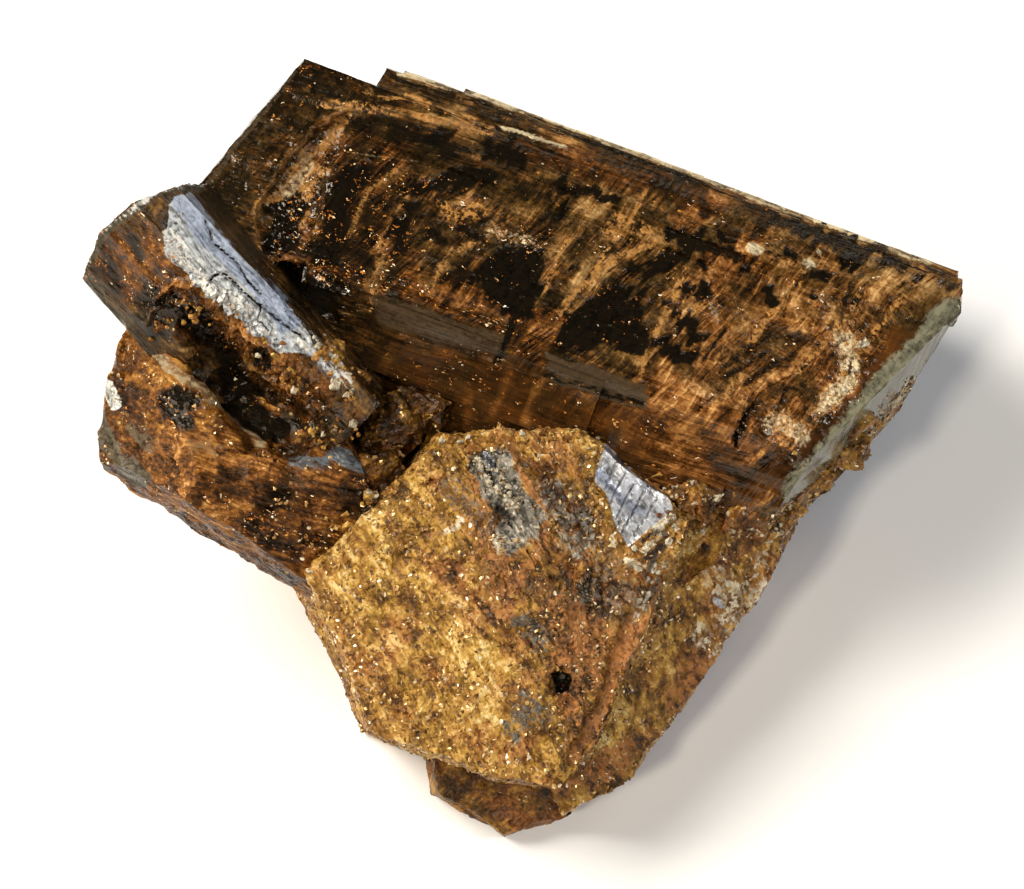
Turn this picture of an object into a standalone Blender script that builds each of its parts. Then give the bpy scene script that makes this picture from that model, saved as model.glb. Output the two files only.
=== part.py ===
"""A hand-sized cluster of brown uvite tourmaline crystals, grown together with mica crust.

One natural piece, so one solid: a long six-sided main crystal, two smaller crystals beside it,
a stubby crystal with its crusted end to the viewer, its flank, a nub of matrix and the matrix beneath.

Shapes are laid out in the specimen's own frame, in millimetres: +X right, +Y up and +Z out of its
show side. The whole is then leant back onto the flat that it rests on.
"""

import math
import random

import bmesh
import bpy
from mathutils import Matrix, Vector, noise

MM = 0.001
LEAN = math.radians(28.0)  # how far the show side leans back when the cluster rests on its flat
REST_HEIGHT = 30.6  # from the flat up to the specimen frame's origin
CENTRE_X = 0.973  # the middle of the cluster's width, in the specimen frame
CENTRE_Y = 9.896  # the middle of its depth on the surface, once it has leant back
BLOCK = 240.0  # side of the block that each crystal is cut from
LUMP_SEED = 1796074615  # fixes where the lumps of the rough bodies lie, the same every run

# The main crystal. A face is (turn, tilt, distance): turn goes round the long axis, from the viewer
# towards its upper side; tilt is from the long axis, so that 90 is a prism face; then the distance.
MAIN_CENTRE = (3.97, 10.79, -21.0)
MAIN_AXIS = (0.938, -0.345, 0.0)
MAIN_PRISM = (
    (88.0, 90.0, 19.0),
    (27.0, 90.0, 17.8),
    (-33.0, 90.0, 18.7),
    (-93.0, 90.0, 20.0),
    (-153.0, 90.0, 18.5),
    (147.0, 90.0, 17.9),
)
MAIN_ENDS = (
    (-56.3, 23.8, 30.9),
    (150.2, 20.4, 34.9),
    (-112.0, 30.0, 29.2),
    (73.4, 159.4, 39.8),
    (180.0, 150.0, 37.0),
    (-90.0, 150.0, 40.5),
)

# Growth layers of the main crystal: the prism face that each lies on, how high it stands, how far
# its two long sides reach from the face's middle, and where along the axis it starts and stops.
LAYERS = (
    (88.0, 2.1, -9.0, 13.0, -28.6, 60.0),
    (88.0, 2.8, -7.5, 10.0, 3.0, 60.0),
    (27.0, 0.5, 5.4, 9.4, -29.0, 18.0),
    (27.0, 0.9, 7.4, 9.0, -12.0, 29.0),
    (27.0, 0.45, -9.6, -5.2, -23.0, 26.0),
    (-33.0, 0.6, 1.5, 9.2, -30.0, 9.0),
    (-33.0, 0.5, -4.0, 3.0, 6.0, 24.0),
    (147.0, 0.8, -6.0, 8.0, -24.0, 20.0),
    (-153.0, 0.7, -8.0, 4.0, -20.0, 12.0),
)

LEFT_CENTRE = (-29.9, 13.2, -1.0)
LEFT_AXIS = (0.66, -0.71, -0.24)
LEFT_PRISM = (
    (18.0, 90.0, 9.1),
    (78.0, 90.0, 7.45),
    (138.0, 90.0, 8.0),
    (198.0, 90.0, 8.0),
    (-102.0, 90.0, 7.7),
    (-42.0, 90.0, 5.5),
    (0.0, 0.0, 16.0),
)

# From here on a face is (point on it, its outward direction). These end the left crystal.
LEFT_ENDS = (
    ((-35.2, 25.2, 4.0), (-0.41, 0.91, 0.0)),
    ((-40.4, 22.1, 2.0), (-0.62, 0.78, 0.0)),
    ((-42.8, 18.6, 0.0), (-0.89, 0.45, 0.0)),
    ((-41.6, 14.2, -1.0), (-0.74, -0.66, 0.10)),
)

# The rougher bodies.
LOWER_LEFT = (
    ((-26.0, -3.5, 3.4), (0.10, 0.30, 0.95)),
    ((-26.0, -3.5, 3.4), (0.06, -0.42, 0.90)),
    ((-36.0, 0.0, 1.0), (-0.55, 0.10, 0.83)),
    ((-30.0, -8.3, -3.0), (-0.50, -0.84, 0.22)),
    ((-42.6, 2.0, -4.0), (-0.985, -0.17, 0.05)),
    ((-40.8, 9.0, -4.0), (-0.97, 0.24, 0.05)),
    ((-30.0, 14.0, -6.0), (-0.20, 0.98, 0.0)),
    ((-16.0, 0.0, -6.0), (0.86, 0.51, 0.10)),
    ((-14.0, -10.0, -6.0), (0.97, -0.25, 0.0)),
    ((-26.0, 0.0, -19.0), (-0.30, -0.20, -0.93)),
    ((-37.0, 0.0, -12.0), (-0.80, -0.10, -0.59)),
    ((-28.0, -9.5, -12.0), (-0.42, -0.75, -0.51)),
)
FRONT = (
    ((-4.0, -14.0, 3.2), (-0.13, -0.07, 0.99)),
    ((7.0, -14.0, 2.6), (0.20, -0.08, 0.975)),
    ((8.0, -4.0, 1.2), (0.16, 0.24, 0.955)),
    ((0.0, 1.9, -2.0), (0.0, 0.999, 0.05)),
    ((12.5, -3.0, -2.0), (0.64, 0.765, 0.08)),
    ((12.5, -18.0, -2.0), (0.917, -0.395, 0.06)),
    ((6.0, -32.0, -4.0), (0.72, -0.68, 0.12)),
    ((1.0, -33.8, -4.0), (-0.09, -0.985, 0.14)),
    ((-8.0, -31.2, -4.0), (-0.37, -0.92, 0.12)),
    ((-18.2, -20.8, -4.0), (-0.915, -0.39, 0.12)),
    ((-14.6, -4.8, -3.0), (-0.70, 0.70, 0.10)),
    ((0.0, -16.0, -34.0), (0.0, 0.0, -1.0)),
)
FLANK = (
    ((17.0, -13.0, -4.6), (0.47, -0.20, 0.86)),
    ((12.0, -14.0, -3.0), (-0.12, 0.0, 0.99)),
    ((23.0, -8.0, -6.0), (0.30, 0.35, 0.88)),
    ((26.4, -10.5, -10.0), (0.925, -0.37, 0.10)),
    ((18.6, -23.0, -10.0), (0.82, -0.57, 0.05)),
    ((10.0, -34.0, -10.0), (0.50, -0.865, 0.05)),
    ((2.0, -30.0, -10.0), (-0.95, -0.31, 0.0)),
    ((17.0, -4.0, -10.0), (0.1, 0.99, 0.0)),
    ((17.0, -13.0, -36.0), (0.0, 0.0, -1.0)),
)
NUB = (
    ((-2.0, -33.0, -8.5), (-0.10, -0.30, 0.95)),
    ((-8.8, -33.0, -12.0), (-0.99, -0.05, 0.10)),
    ((-6.0, -37.0, -12.0), (-0.50, -0.86, 0.10)),
    ((2.0, -38.4, -12.0), (0.28, -0.95, 0.12)),
    ((5.6, -36.0, -12.0), (0.93, -0.36, 0.0)),
    ((-2.0, -20.0, -12.0), (0.0, 1.0, 0.0)),
    ((-2.0, -33.0, -34.0), (0.0, 0.0, -1.0)),
)
BENEATH = (
    ((-6.0, -4.0, -9.0), (-0.10, 0.20, 0.975)),
    ((-27.0, -2.0, -20.0), (-0.93, -0.30, -0.20)),
    ((-14.0, -16.0, -22.0), (-0.52, -0.84, -0.15)),
    ((12.0, -16.0, -22.0), (0.60, -0.79, -0.10)),
    ((22.0, 0.0, -22.0), (0.95, -0.30, -0.10)),
    ((-14.0, 12.0, -25.0), (-0.50, 0.86, 0.20)),
    ((0.0, 12.0, -25.0), (0.10, 0.90, -0.40)),
    ((-4.0, 0.0, -44.0), (-0.10, 0.0, -0.99)),
    ((-18.0, 0.0, -36.0), (-0.70, -0.15, -0.70)),
)

# Each rough body with its faces, the spacing of its points, and its lumps: how high and how wide.
ROUGH = (
    ("Lower Left Crystal", LOWER_LEFT, 2.4, 0.60, 4.5),
    ("Front Crystal", FRONT, 2.3, 0.75, 3.6),
    ("Flank", FLANK, 2.8, 0.70, 4.5),
    ("Nub", NUB, 2.8, 0.90, 4.0),
    ("Matrix Beneath", BENEATH, 5.0, 1.60, 9.0),
)

# Hollows: their middle, half sizes along X, Y and Z, a turn about Z in degrees, and their lumps.
HOLLOWS = (
    ("Cavity", (-28.6, 7.2, 2.2), (3.8, 8.0, 5.2), 43.0, 1.0),
    ("Cavity Foot", (-22.6, 2.4, 1.6), (3.4, 4.6, 3.6), 36.0, 0.9),
    ("Broken Patch Foot", (-23.6, 20.4, -1.6), (2.8, 4.6, 2.2), -18.0, 0.7),
    ("Broken Patch Head", (-20.6, 27.4, -4.4), (2.3, 5.2, 1.9), -28.0, 0.7),
    ("Grey Patch", (-1.2, -6.6, 4.3), (3.2, 7.2, 2.1), 14.0, 0.4),
    ("Deep Hole", (3.8, -23.3, 2.0), (1.1, 1.2, 3.4), 20.0, 0.2),
    ("Small Pit", (5.0, -25.6, 1.9), (0.8, 0.7, 1.4), 0.0, 0.1),
)

# Crumbs of matrix: their middle and how far they reach.
CRUMBS = (
    ((33.6, 1.0, -14.0), 3.0),
    ((30.0, -1.6, -13.0), 3.2),
    ((26.4, -4.6, -11.0), 3.4),
    ((22.4, -7.2, -8.0), 3.4),
    ((17.6, -5.4, -5.0), 3.0),
    ((-19.6, 8.6, 2.2), 2.4),
    ((-17.4, 5.0, 0.4), 2.8),
    ((-13.2, 2.2, -3.2), 3.8),
    ((-9.6, 4.0, -4.6), 3.2),
    ((-15.0, -2.4, -3.0), 4.2),
    ((31.4, 6.6, -7.0), 2.6),
    ((33.2, 3.2, -9.4), 2.6),
)


def specimen_to_rest():
    """Takes millimetres in the specimen's frame to metres on the surface that it rests on."""
    shift = Matrix.Translation((-CENTRE_X, -CENTRE_Y, REST_HEIGHT))
    return Matrix.Scale(MM, 4) @ shift @ Matrix.Rotation(LEAN, 4, "X")


def crystal_axes(long_axis):
    """The long axis, its upper side and its outward side, as three unit vectors."""
    along = Vector(long_axis).normalized()
    out = Vector((0.0, 0.0, 1.0))
    out = (out - along * out.dot(along)).normalized()
    return along, out.cross(along), out


def face_direction(axes, turn, tilt):
    along, side, out = axes
    turn, tilt = math.radians(turn), math.radians(tilt)
    around = side * math.sin(turn) + out * math.cos(turn)
    return along * math.cos(tilt) + around * math.sin(tilt)


def convex(planes):
    """A convex body: a block, cut along each plane and closed again."""
    bm = bmesh.new()
    bmesh.ops.create_cube(bm, size=BLOCK)
    for point, direction in planes:
        everything = bm.verts[:] + bm.edges[:] + bm.faces[:]
        made = bmesh.ops.bisect_plane(
            bm, geom=everything, plane_co=Vector(point),
            plane_no=Vector(direction).normalized(), clear_outer=True, dist=1e-6,
        )
        rim = [part for part in made["geom_cut"] if isinstance(part, bmesh.types.BMEdge)]
        if rim:
            bmesh.ops.holes_fill(bm, edges=rim, sides=0)
    bmesh.ops.remove_doubles(bm, verts=bm.verts, dist=1e-4)
    return bm


def crystal_planes(centre, long_axis, faces):
    centre = Vector(centre)
    axes = crystal_axes(long_axis)
    planes = []
    for turn, tilt, distance in faces:
        direction = face_direction(axes, turn, tilt)
        planes.append((centre + direction * distance, direction))
    return planes


def layer_planes(turn, height, low, high, start, stop):
    """A slab that stands on one prism face of the main crystal and sinks into it."""
    centre = Vector(MAIN_CENTRE)
    axes = crystal_axes(MAIN_AXIS)
    along = axes[0]
    outward = face_direction(axes, turn, 90.0)
    across = outward.cross(along)
    distance = next(face[2] for face in MAIN_PRISM if face[0] == turn)
    top = centre + outward * (distance + height)
    root = centre + outward * (distance - 3.0)
    slope = outward * 0.35
    lip = 0.1 * height
    ends = crystal_planes(MAIN_CENTRE, MAIN_AXIS, [(t, e, d + lip) for t, e, d in MAIN_ENDS])
    return ends + [
        (top, outward),
        (root, -outward),
        (top + across * high, across + slope),
        (top + across * low, slope - across),
        (centre + along * start, slope * 0.5 - along),
        (centre + along * stop, along + slope * 0.5),
    ]


def roughen(bm, spacing, lift, width):
    """Splits a body into even small faces, then pushes its points about in smooth lumps."""
    bmesh.ops.triangulate(bm, faces=bm.faces)
    for _ in range(8):
        long_edges = [edge for edge in bm.edges if edge.calc_length() > spacing * 1.35]
        if not long_edges:
            break
        bmesh.ops.subdivide_edges(bm, edges=long_edges, cuts=1, use_single_edge=True)
        bmesh.ops.triangulate(bm, faces=bm.faces)
        level = [edge for edge in bm.edges if edge.calc_face_angle() < 0.001]
        bmesh.ops.beautify_fill(bm, faces=bm.faces, edges=level)
    for vert in bm.verts:
        vert.co += lift * noise.noise_vector(vert.co / width)


def rounded(middle, half_sizes, turn, lift):
    """A lumpy egg shape, for a hollow."""
    bm = bmesh.new()
    bmesh.ops.create_icosphere(bm, subdivisions=2, radius=1.0)
    place = Matrix.Translation(middle) @ Matrix.Rotation(math.radians(turn), 4, "Z")
    bm.transform(place @ Matrix.Diagonal((*half_sizes, 1.0)))
    for vert in bm.verts:
        vert.co += lift * noise.noise_vector(vert.co / 2.2)
    return bm


def crumb(middle, reach, seed):
    """An angular crumb, cut from a block by directions drawn from a seeded generator."""
    dice = random.Random(seed)
    planes = []
    for index in range(14):
        height = 1.0 - 2.0 * (index + 0.5) / 14
        ring = math.sqrt(1.0 - height * height)
        angle = index * 2.4 + dice.uniform(-0.3, 0.3)
        direction = Vector((ring * math.cos(angle), ring * math.sin(angle), height))
        planes.append((Vector(middle) + direction * reach * dice.uniform(0.75, 1.0), direction))
    return convex(planes)


def material(name, colour, roughness):
    """A named Principled material in one linear colour."""
    made = bpy.data.materials.new(name)
    made.use_nodes = True
    shader = made.node_tree.nodes["Principled BSDF"]
    shader.inputs["Base Color"].default_value = (*colour, 1.0)
    shader.inputs["Roughness"].default_value = roughness
    return made


def add_object(name, bm, collection):
    """Turns a body into an object that stands on the surface, in metres."""
    bm.transform(specimen_to_rest())
    bmesh.ops.recalc_face_normals(bm, faces=bm.faces)
    mesh = bpy.data.meshes.new(name)
    bm.to_mesh(mesh)
    bm.free()
    made = bpy.data.objects.new(name, mesh)
    collection.objects.link(made)
    return made


def tool(name, bm, collection):
    made = add_object(name, bm, collection)
    made.display_type = "WIRE"
    made.hide_render = True
    return made


def combine(target, other, operation):
    change = target.modifiers.new(operation.title() + " " + other.name, "BOOLEAN")
    change.operation = operation
    change.solver = "EXACT"
    change.object = other


def main():
    for old in list(bpy.data.objects):
        bpy.data.objects.remove(old, do_unlink=True)
    noise.seed_set(LUMP_SEED)

    parts = bpy.data.collections.new("Uvite Tourmaline Specimen")
    cutters = bpy.data.collections.new("Cutters")
    bpy.context.scene.collection.children.link(parts)
    bpy.context.scene.collection.children.link(cutters)

    main_planes = crystal_planes(MAIN_CENTRE, MAIN_AXIS, MAIN_PRISM + MAIN_ENDS)
    cluster = add_object("crystal_cluster", convex(main_planes), parts)
    cluster.data.materials.append(material("Tourmaline", (0.075, 0.035, 0.012), 0.25))

    # Everything that has grown on the main crystal
    for index, layer in enumerate(LAYERS):
        slab = tool("Growth Layer %d" % index, convex(layer_planes(*layer)), cutters)
        combine(cluster, slab, "UNION")
    left = convex(crystal_planes(LEFT_CENTRE, LEFT_AXIS, LEFT_PRISM) + list(LEFT_ENDS))
    combine(cluster, tool("Left Crystal", left, cutters), "UNION")
    for name, planes, spacing, lift, width in ROUGH:
        body = convex(planes)
        roughen(body, spacing, lift, width)
        combine(cluster, tool(name, body, cutters), "UNION")
    for index, (middle, reach) in enumerate(CRUMBS):
        lump = tool("Crumb %d" % index, crumb(middle, reach, index), cutters)
        combine(cluster, lump, "UNION")

    # What is broken out of it
    for name, middle, half_sizes, turn, lift in HOLLOWS:
        hollow = tool(name, rounded(middle, half_sizes, turn, lift), cutters)
        combine(cluster, hollow, "DIFFERENCE")

    # The flat that it rests on
    bm = bmesh.new()
    bmesh.ops.create_cube(bm, size=BLOCK)
    bmesh.ops.translate(bm, vec=(0.0, 0.0, -BLOCK / 2 - REST_HEIGHT), verts=bm.verts)
    bm.transform(Matrix.Rotation(-LEAN, 4, "X"))
    combine(cluster, tool("Flat Cut", bm, cutters), "DIFFERENCE")


main()
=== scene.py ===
"""Looks of the uvite tourmaline specimen: brown tourmaline crystals grown together with mica crust.

The shapes are laid out in the specimen's own frame, in millimetres: +X right, +Y up and +Z out of its
show side. Each crystal is split into small faces, then gets its growth lines, ledges, breaks and pits.
What shows on the show side is placed by where it is seen from straight above that side, as
(across, down) in tenths of a millimetre from the upper left corner of the view.
"""

import collections
import itertools
import math
import random

import bmesh
import bpy
import numpy as np
from mathutils import Matrix, Vector, noise


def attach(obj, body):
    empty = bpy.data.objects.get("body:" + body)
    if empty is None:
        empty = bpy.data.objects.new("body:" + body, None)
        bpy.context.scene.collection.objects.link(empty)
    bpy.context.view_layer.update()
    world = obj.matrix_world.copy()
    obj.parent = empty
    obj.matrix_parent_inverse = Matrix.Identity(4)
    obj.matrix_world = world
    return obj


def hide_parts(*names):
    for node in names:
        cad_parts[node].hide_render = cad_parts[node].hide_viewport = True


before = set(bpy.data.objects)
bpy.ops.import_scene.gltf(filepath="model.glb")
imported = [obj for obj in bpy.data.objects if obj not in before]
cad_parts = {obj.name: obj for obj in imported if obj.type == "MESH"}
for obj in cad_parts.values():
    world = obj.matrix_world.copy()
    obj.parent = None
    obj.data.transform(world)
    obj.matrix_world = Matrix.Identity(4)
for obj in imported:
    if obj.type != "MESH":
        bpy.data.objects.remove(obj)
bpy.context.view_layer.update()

MM = 0.001
# How the cluster rests, in the same numbers as in the solid
LEAN = math.radians(28.0)  # how far the show side leans back when the cluster rests on its flat
REST_HEIGHT = 30.6
CENTRE_X = 0.973
CENTRE_Y = 9.896
BLOCK = 240.0  # the side of the cube that each body is cut from
# The eye is straight above the show side, this high in millimetres, and looks at this place on it, which
# is seen in the middle of the view
EYE_HEIGHT = 400.0
AIM = (-0.8, 0.55)
VIEW_MIDDLE = (512.0, 444.5)
VIEW_WIDTH = 102.4
LUMP_SEED = 1796074615  # the solid's own, so that the lumps of the rough bodies lie where they do in it
FLOOR = ((0.0, 0.0, -REST_HEIGHT / math.cos(LEAN)), (0.0, -math.sin(LEAN), -math.cos(LEAN)))

# The main crystal: (turn round the long axis, tilt from it, distance) for each face.
MAIN_CENTRE = (3.97, 10.79, -21.0)
MAIN_AXIS = (0.938, -0.345, 0.0)
MAIN_PRISM = (
    (88.0, 90.0, 19.0), (27.0, 90.0, 17.8), (-33.0, 90.0, 18.7),
    (-93.0, 90.0, 20.0), (-153.0, 90.0, 18.5), (147.0, 90.0, 17.9),
)
MAIN_ENDS = (
    (-56.3, 23.8, 30.9), (150.2, 20.4, 34.9), (-112.0, 30.0, 29.2),
    (73.4, 159.4, 39.8), (180.0, 150.0, 37.0), (-90.0, 150.0, 40.5),
)

# Growth layers: prism face, height, its two long sides, and where it starts and stops along the axis.
LAYERS = (
    (88.0, 2.1, -9.0, 13.0, -30.2, 60.0),
    (88.0, 2.8, -7.5, 10.0, 3.0, 60.0),
    (27.0, 0.5, 5.4, 9.4, -29.0, 18.0),
    (27.0, 0.9, 7.4, 9.0, -12.0, 29.0),
    (27.0, 0.45, -9.6, -5.2, -23.0, 26.0),
    (-33.0, 0.6, 1.5, 9.2, -30.0, 9.0),
    (-33.0, 0.5, -4.0, 3.0, 6.0, 24.0),
    (147.0, 0.8, -6.0, 8.0, -24.0, 20.0),
    (-153.0, 0.7, -8.0, 4.0, -20.0, 12.0),
)

LEFT_CENTRE = (-29.9, 13.2, -1.0)
LEFT_AXIS = (0.66, -0.71, -0.24)
LEFT_PRISM = (
    (18.0, 90.0, 9.1), (78.0, 90.0, 7.45), (138.0, 90.0, 8.0), (198.0, 90.0, 8.0),
    (-102.0, 90.0, 7.7), (-42.0, 90.0, 5.5), (0.0, 0.0, 16.0),
)
# From here on a face is (point on it, its outward direction). These end the left crystal.
LEFT_ENDS = (
    ((-35.2, 25.2, 4.0), (-0.41, 0.91, 0.0)),
    ((-40.4, 22.1, 2.0), (-0.62, 0.78, 0.0)),
    ((-42.8, 18.6, 0.0), (-0.89, 0.45, 0.0)),
    ((-41.6, 14.2, -1.0), (-0.74, -0.66, 0.10)),
)
LOWER_LEFT = (
    ((-26.0, -3.5, 3.4), (0.10, 0.30, 0.95)),
    ((-26.0, -3.5, 3.4), (0.06, -0.42, 0.90)),
    ((-36.0, 0.0, 1.0), (-0.55, 0.10, 0.83)),
    ((-30.0, -8.3, -3.0), (-0.50, -0.84, 0.22)),
    ((-42.6, 2.0, -4.0), (-0.985, -0.17, 0.05)),
    ((-40.8, 9.0, -4.0), (-0.97, 0.24, 0.05)),
    ((-30.0, 14.0, -6.0), (-0.20, 0.98, 0.0)),
    ((-16.0, 0.0, -6.0), (0.86, 0.51, 0.10)),
    ((-14.0, -10.0, -6.0), (0.97, -0.25, 0.0)),
    ((-26.0, 0.0, -19.0), (-0.30, -0.20, -0.93)),
    ((-37.0, 0.0, -12.0), (-0.80, -0.10, -0.59)),
    ((-28.0, -9.5, -12.0), (-0.42, -0.75, -0.51)),
)
FRONT = (
    ((-4.0, -14.0, 3.2), (-0.13, -0.07, 0.99)),
    ((7.0, -14.0, 2.6), (0.20, -0.08, 0.975)),
    ((8.0, -4.0, 1.2), (0.16, 0.24, 0.955)),
    ((0.0, 1.9, -2.0), (0.0, 0.999, 0.05)),
    ((12.5, -3.0, -2.0), (0.64, 0.765, 0.08)),
    ((12.5, -18.0, -2.0), (0.917, -0.395, 0.06)),
    ((6.0, -32.0, -4.0), (0.72, -0.68, 0.12)),
    ((1.0, -33.8, -4.0), (-0.09, -0.985, 0.14)),
    ((-8.0, -31.2, -4.0), (-0.37, -0.92, 0.12)),
    ((-18.2, -20.8, -4.0), (-0.915, -0.39, 0.12)),
    ((-14.6, -4.8, -3.0), (-0.70, 0.70, 0.10)),
)
FLANK = (
    ((17.0, -13.0, -4.6), (0.47, -0.20, 0.86)),
    ((12.0, -14.0, -3.0), (-0.12, 0.0, 0.99)),
    ((23.0, -8.0, -6.0), (0.30, 0.35, 0.88)),
    ((26.4, -10.5, -10.0), (0.925, -0.37, 0.10)),
    ((18.6, -23.0, -10.0), (0.82, -0.57, 0.05)),
    ((10.0, -34.0, -10.0), (0.50, -0.865, 0.05)),
    ((2.0, -30.0, -10.0), (-0.95, -0.31, 0.0)),
    ((17.0, -4.0, -10.0), (0.1, 0.99, 0.0)),
)
NUB = (
    ((-2.0, -33.0, -8.5), (-0.10, -0.30, 0.95)),
    ((-8.8, -33.0, -12.0), (-0.99, -0.05, 0.10)),
    ((-6.0, -37.0, -12.0), (-0.50, -0.86, 0.10)),
    ((2.0, -38.4, -12.0), (0.28, -0.95, 0.12)),
    ((5.6, -36.0, -12.0), (0.93, -0.36, 0.0)),
    ((-2.0, -20.0, -12.0), (0.0, 1.0, 0.0)),
)
BENEATH = (
    ((-6.0, -4.0, -9.0), (-0.10, 0.20, 0.975)),
    ((-27.0, -2.0, -20.0), (-0.93, -0.30, -0.20)),
    ((-14.0, -16.0, -22.0), (-0.52, -0.84, -0.15)),
    ((12.0, -16.0, -22.0), (0.60, -0.79, -0.10)),
    ((22.0, 0.0, -22.0), (0.95, -0.30, -0.10)),
    ((-14.0, 12.0, -25.0), (-0.50, 0.86, 0.20)),
    ((0.0, 12.0, -25.0), (0.10, 0.90, -0.40)),
    ((-4.0, 0.0, -44.0), (-0.10, 0.0, -0.99)),
    ((-18.0, 0.0, -36.0), (-0.70, -0.15, -0.70)),
)

# The biggest crumbs of matrix in the joints between the crystals: middle, reach and stain.
CRUMBS = (
    ((33.6, 1.0, -14.0), 3.0, 0.42), ((30.0, -1.6, -13.0), 3.2, 0.40), ((26.4, -4.6, -11.0), 3.4, 0.40),
    ((22.4, -7.2, -8.0), 3.4, 0.36), ((17.6, -5.4, -5.0), 3.0, 0.34), ((-19.6, 8.6, 2.2), 2.4, 0.45),
    ((-17.4, 5.0, 0.4), 2.8, 0.36), ((-13.2, 2.2, -3.6), 3.6, 0.20), ((-9.6, 4.0, -5.6), 2.8, 0.16),
    ((-15.0, -2.4, -3.0), 4.0, 0.26), ((31.4, 6.6, -7.0), 2.6, 0.42), ((33.2, 3.2, -9.4), 2.6, 0.42),
)

DEEP = -0.6  # a hollow deeper than this, in millimetres, is made before the finest faces
# The hollow between the two crystals on the left, as it is seen
CAVITY = ((186, 326), (214, 318), (250, 356), (292, 400), (312, 430), (292, 452), (250, 442), (218, 404),
          (196, 366), (186, 326))


def on_one_path(marks, *path):
    """Rows for several marks, each (mark, strength, width), that share a path."""
    return [(*mark, *path) for mark in marks]


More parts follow.
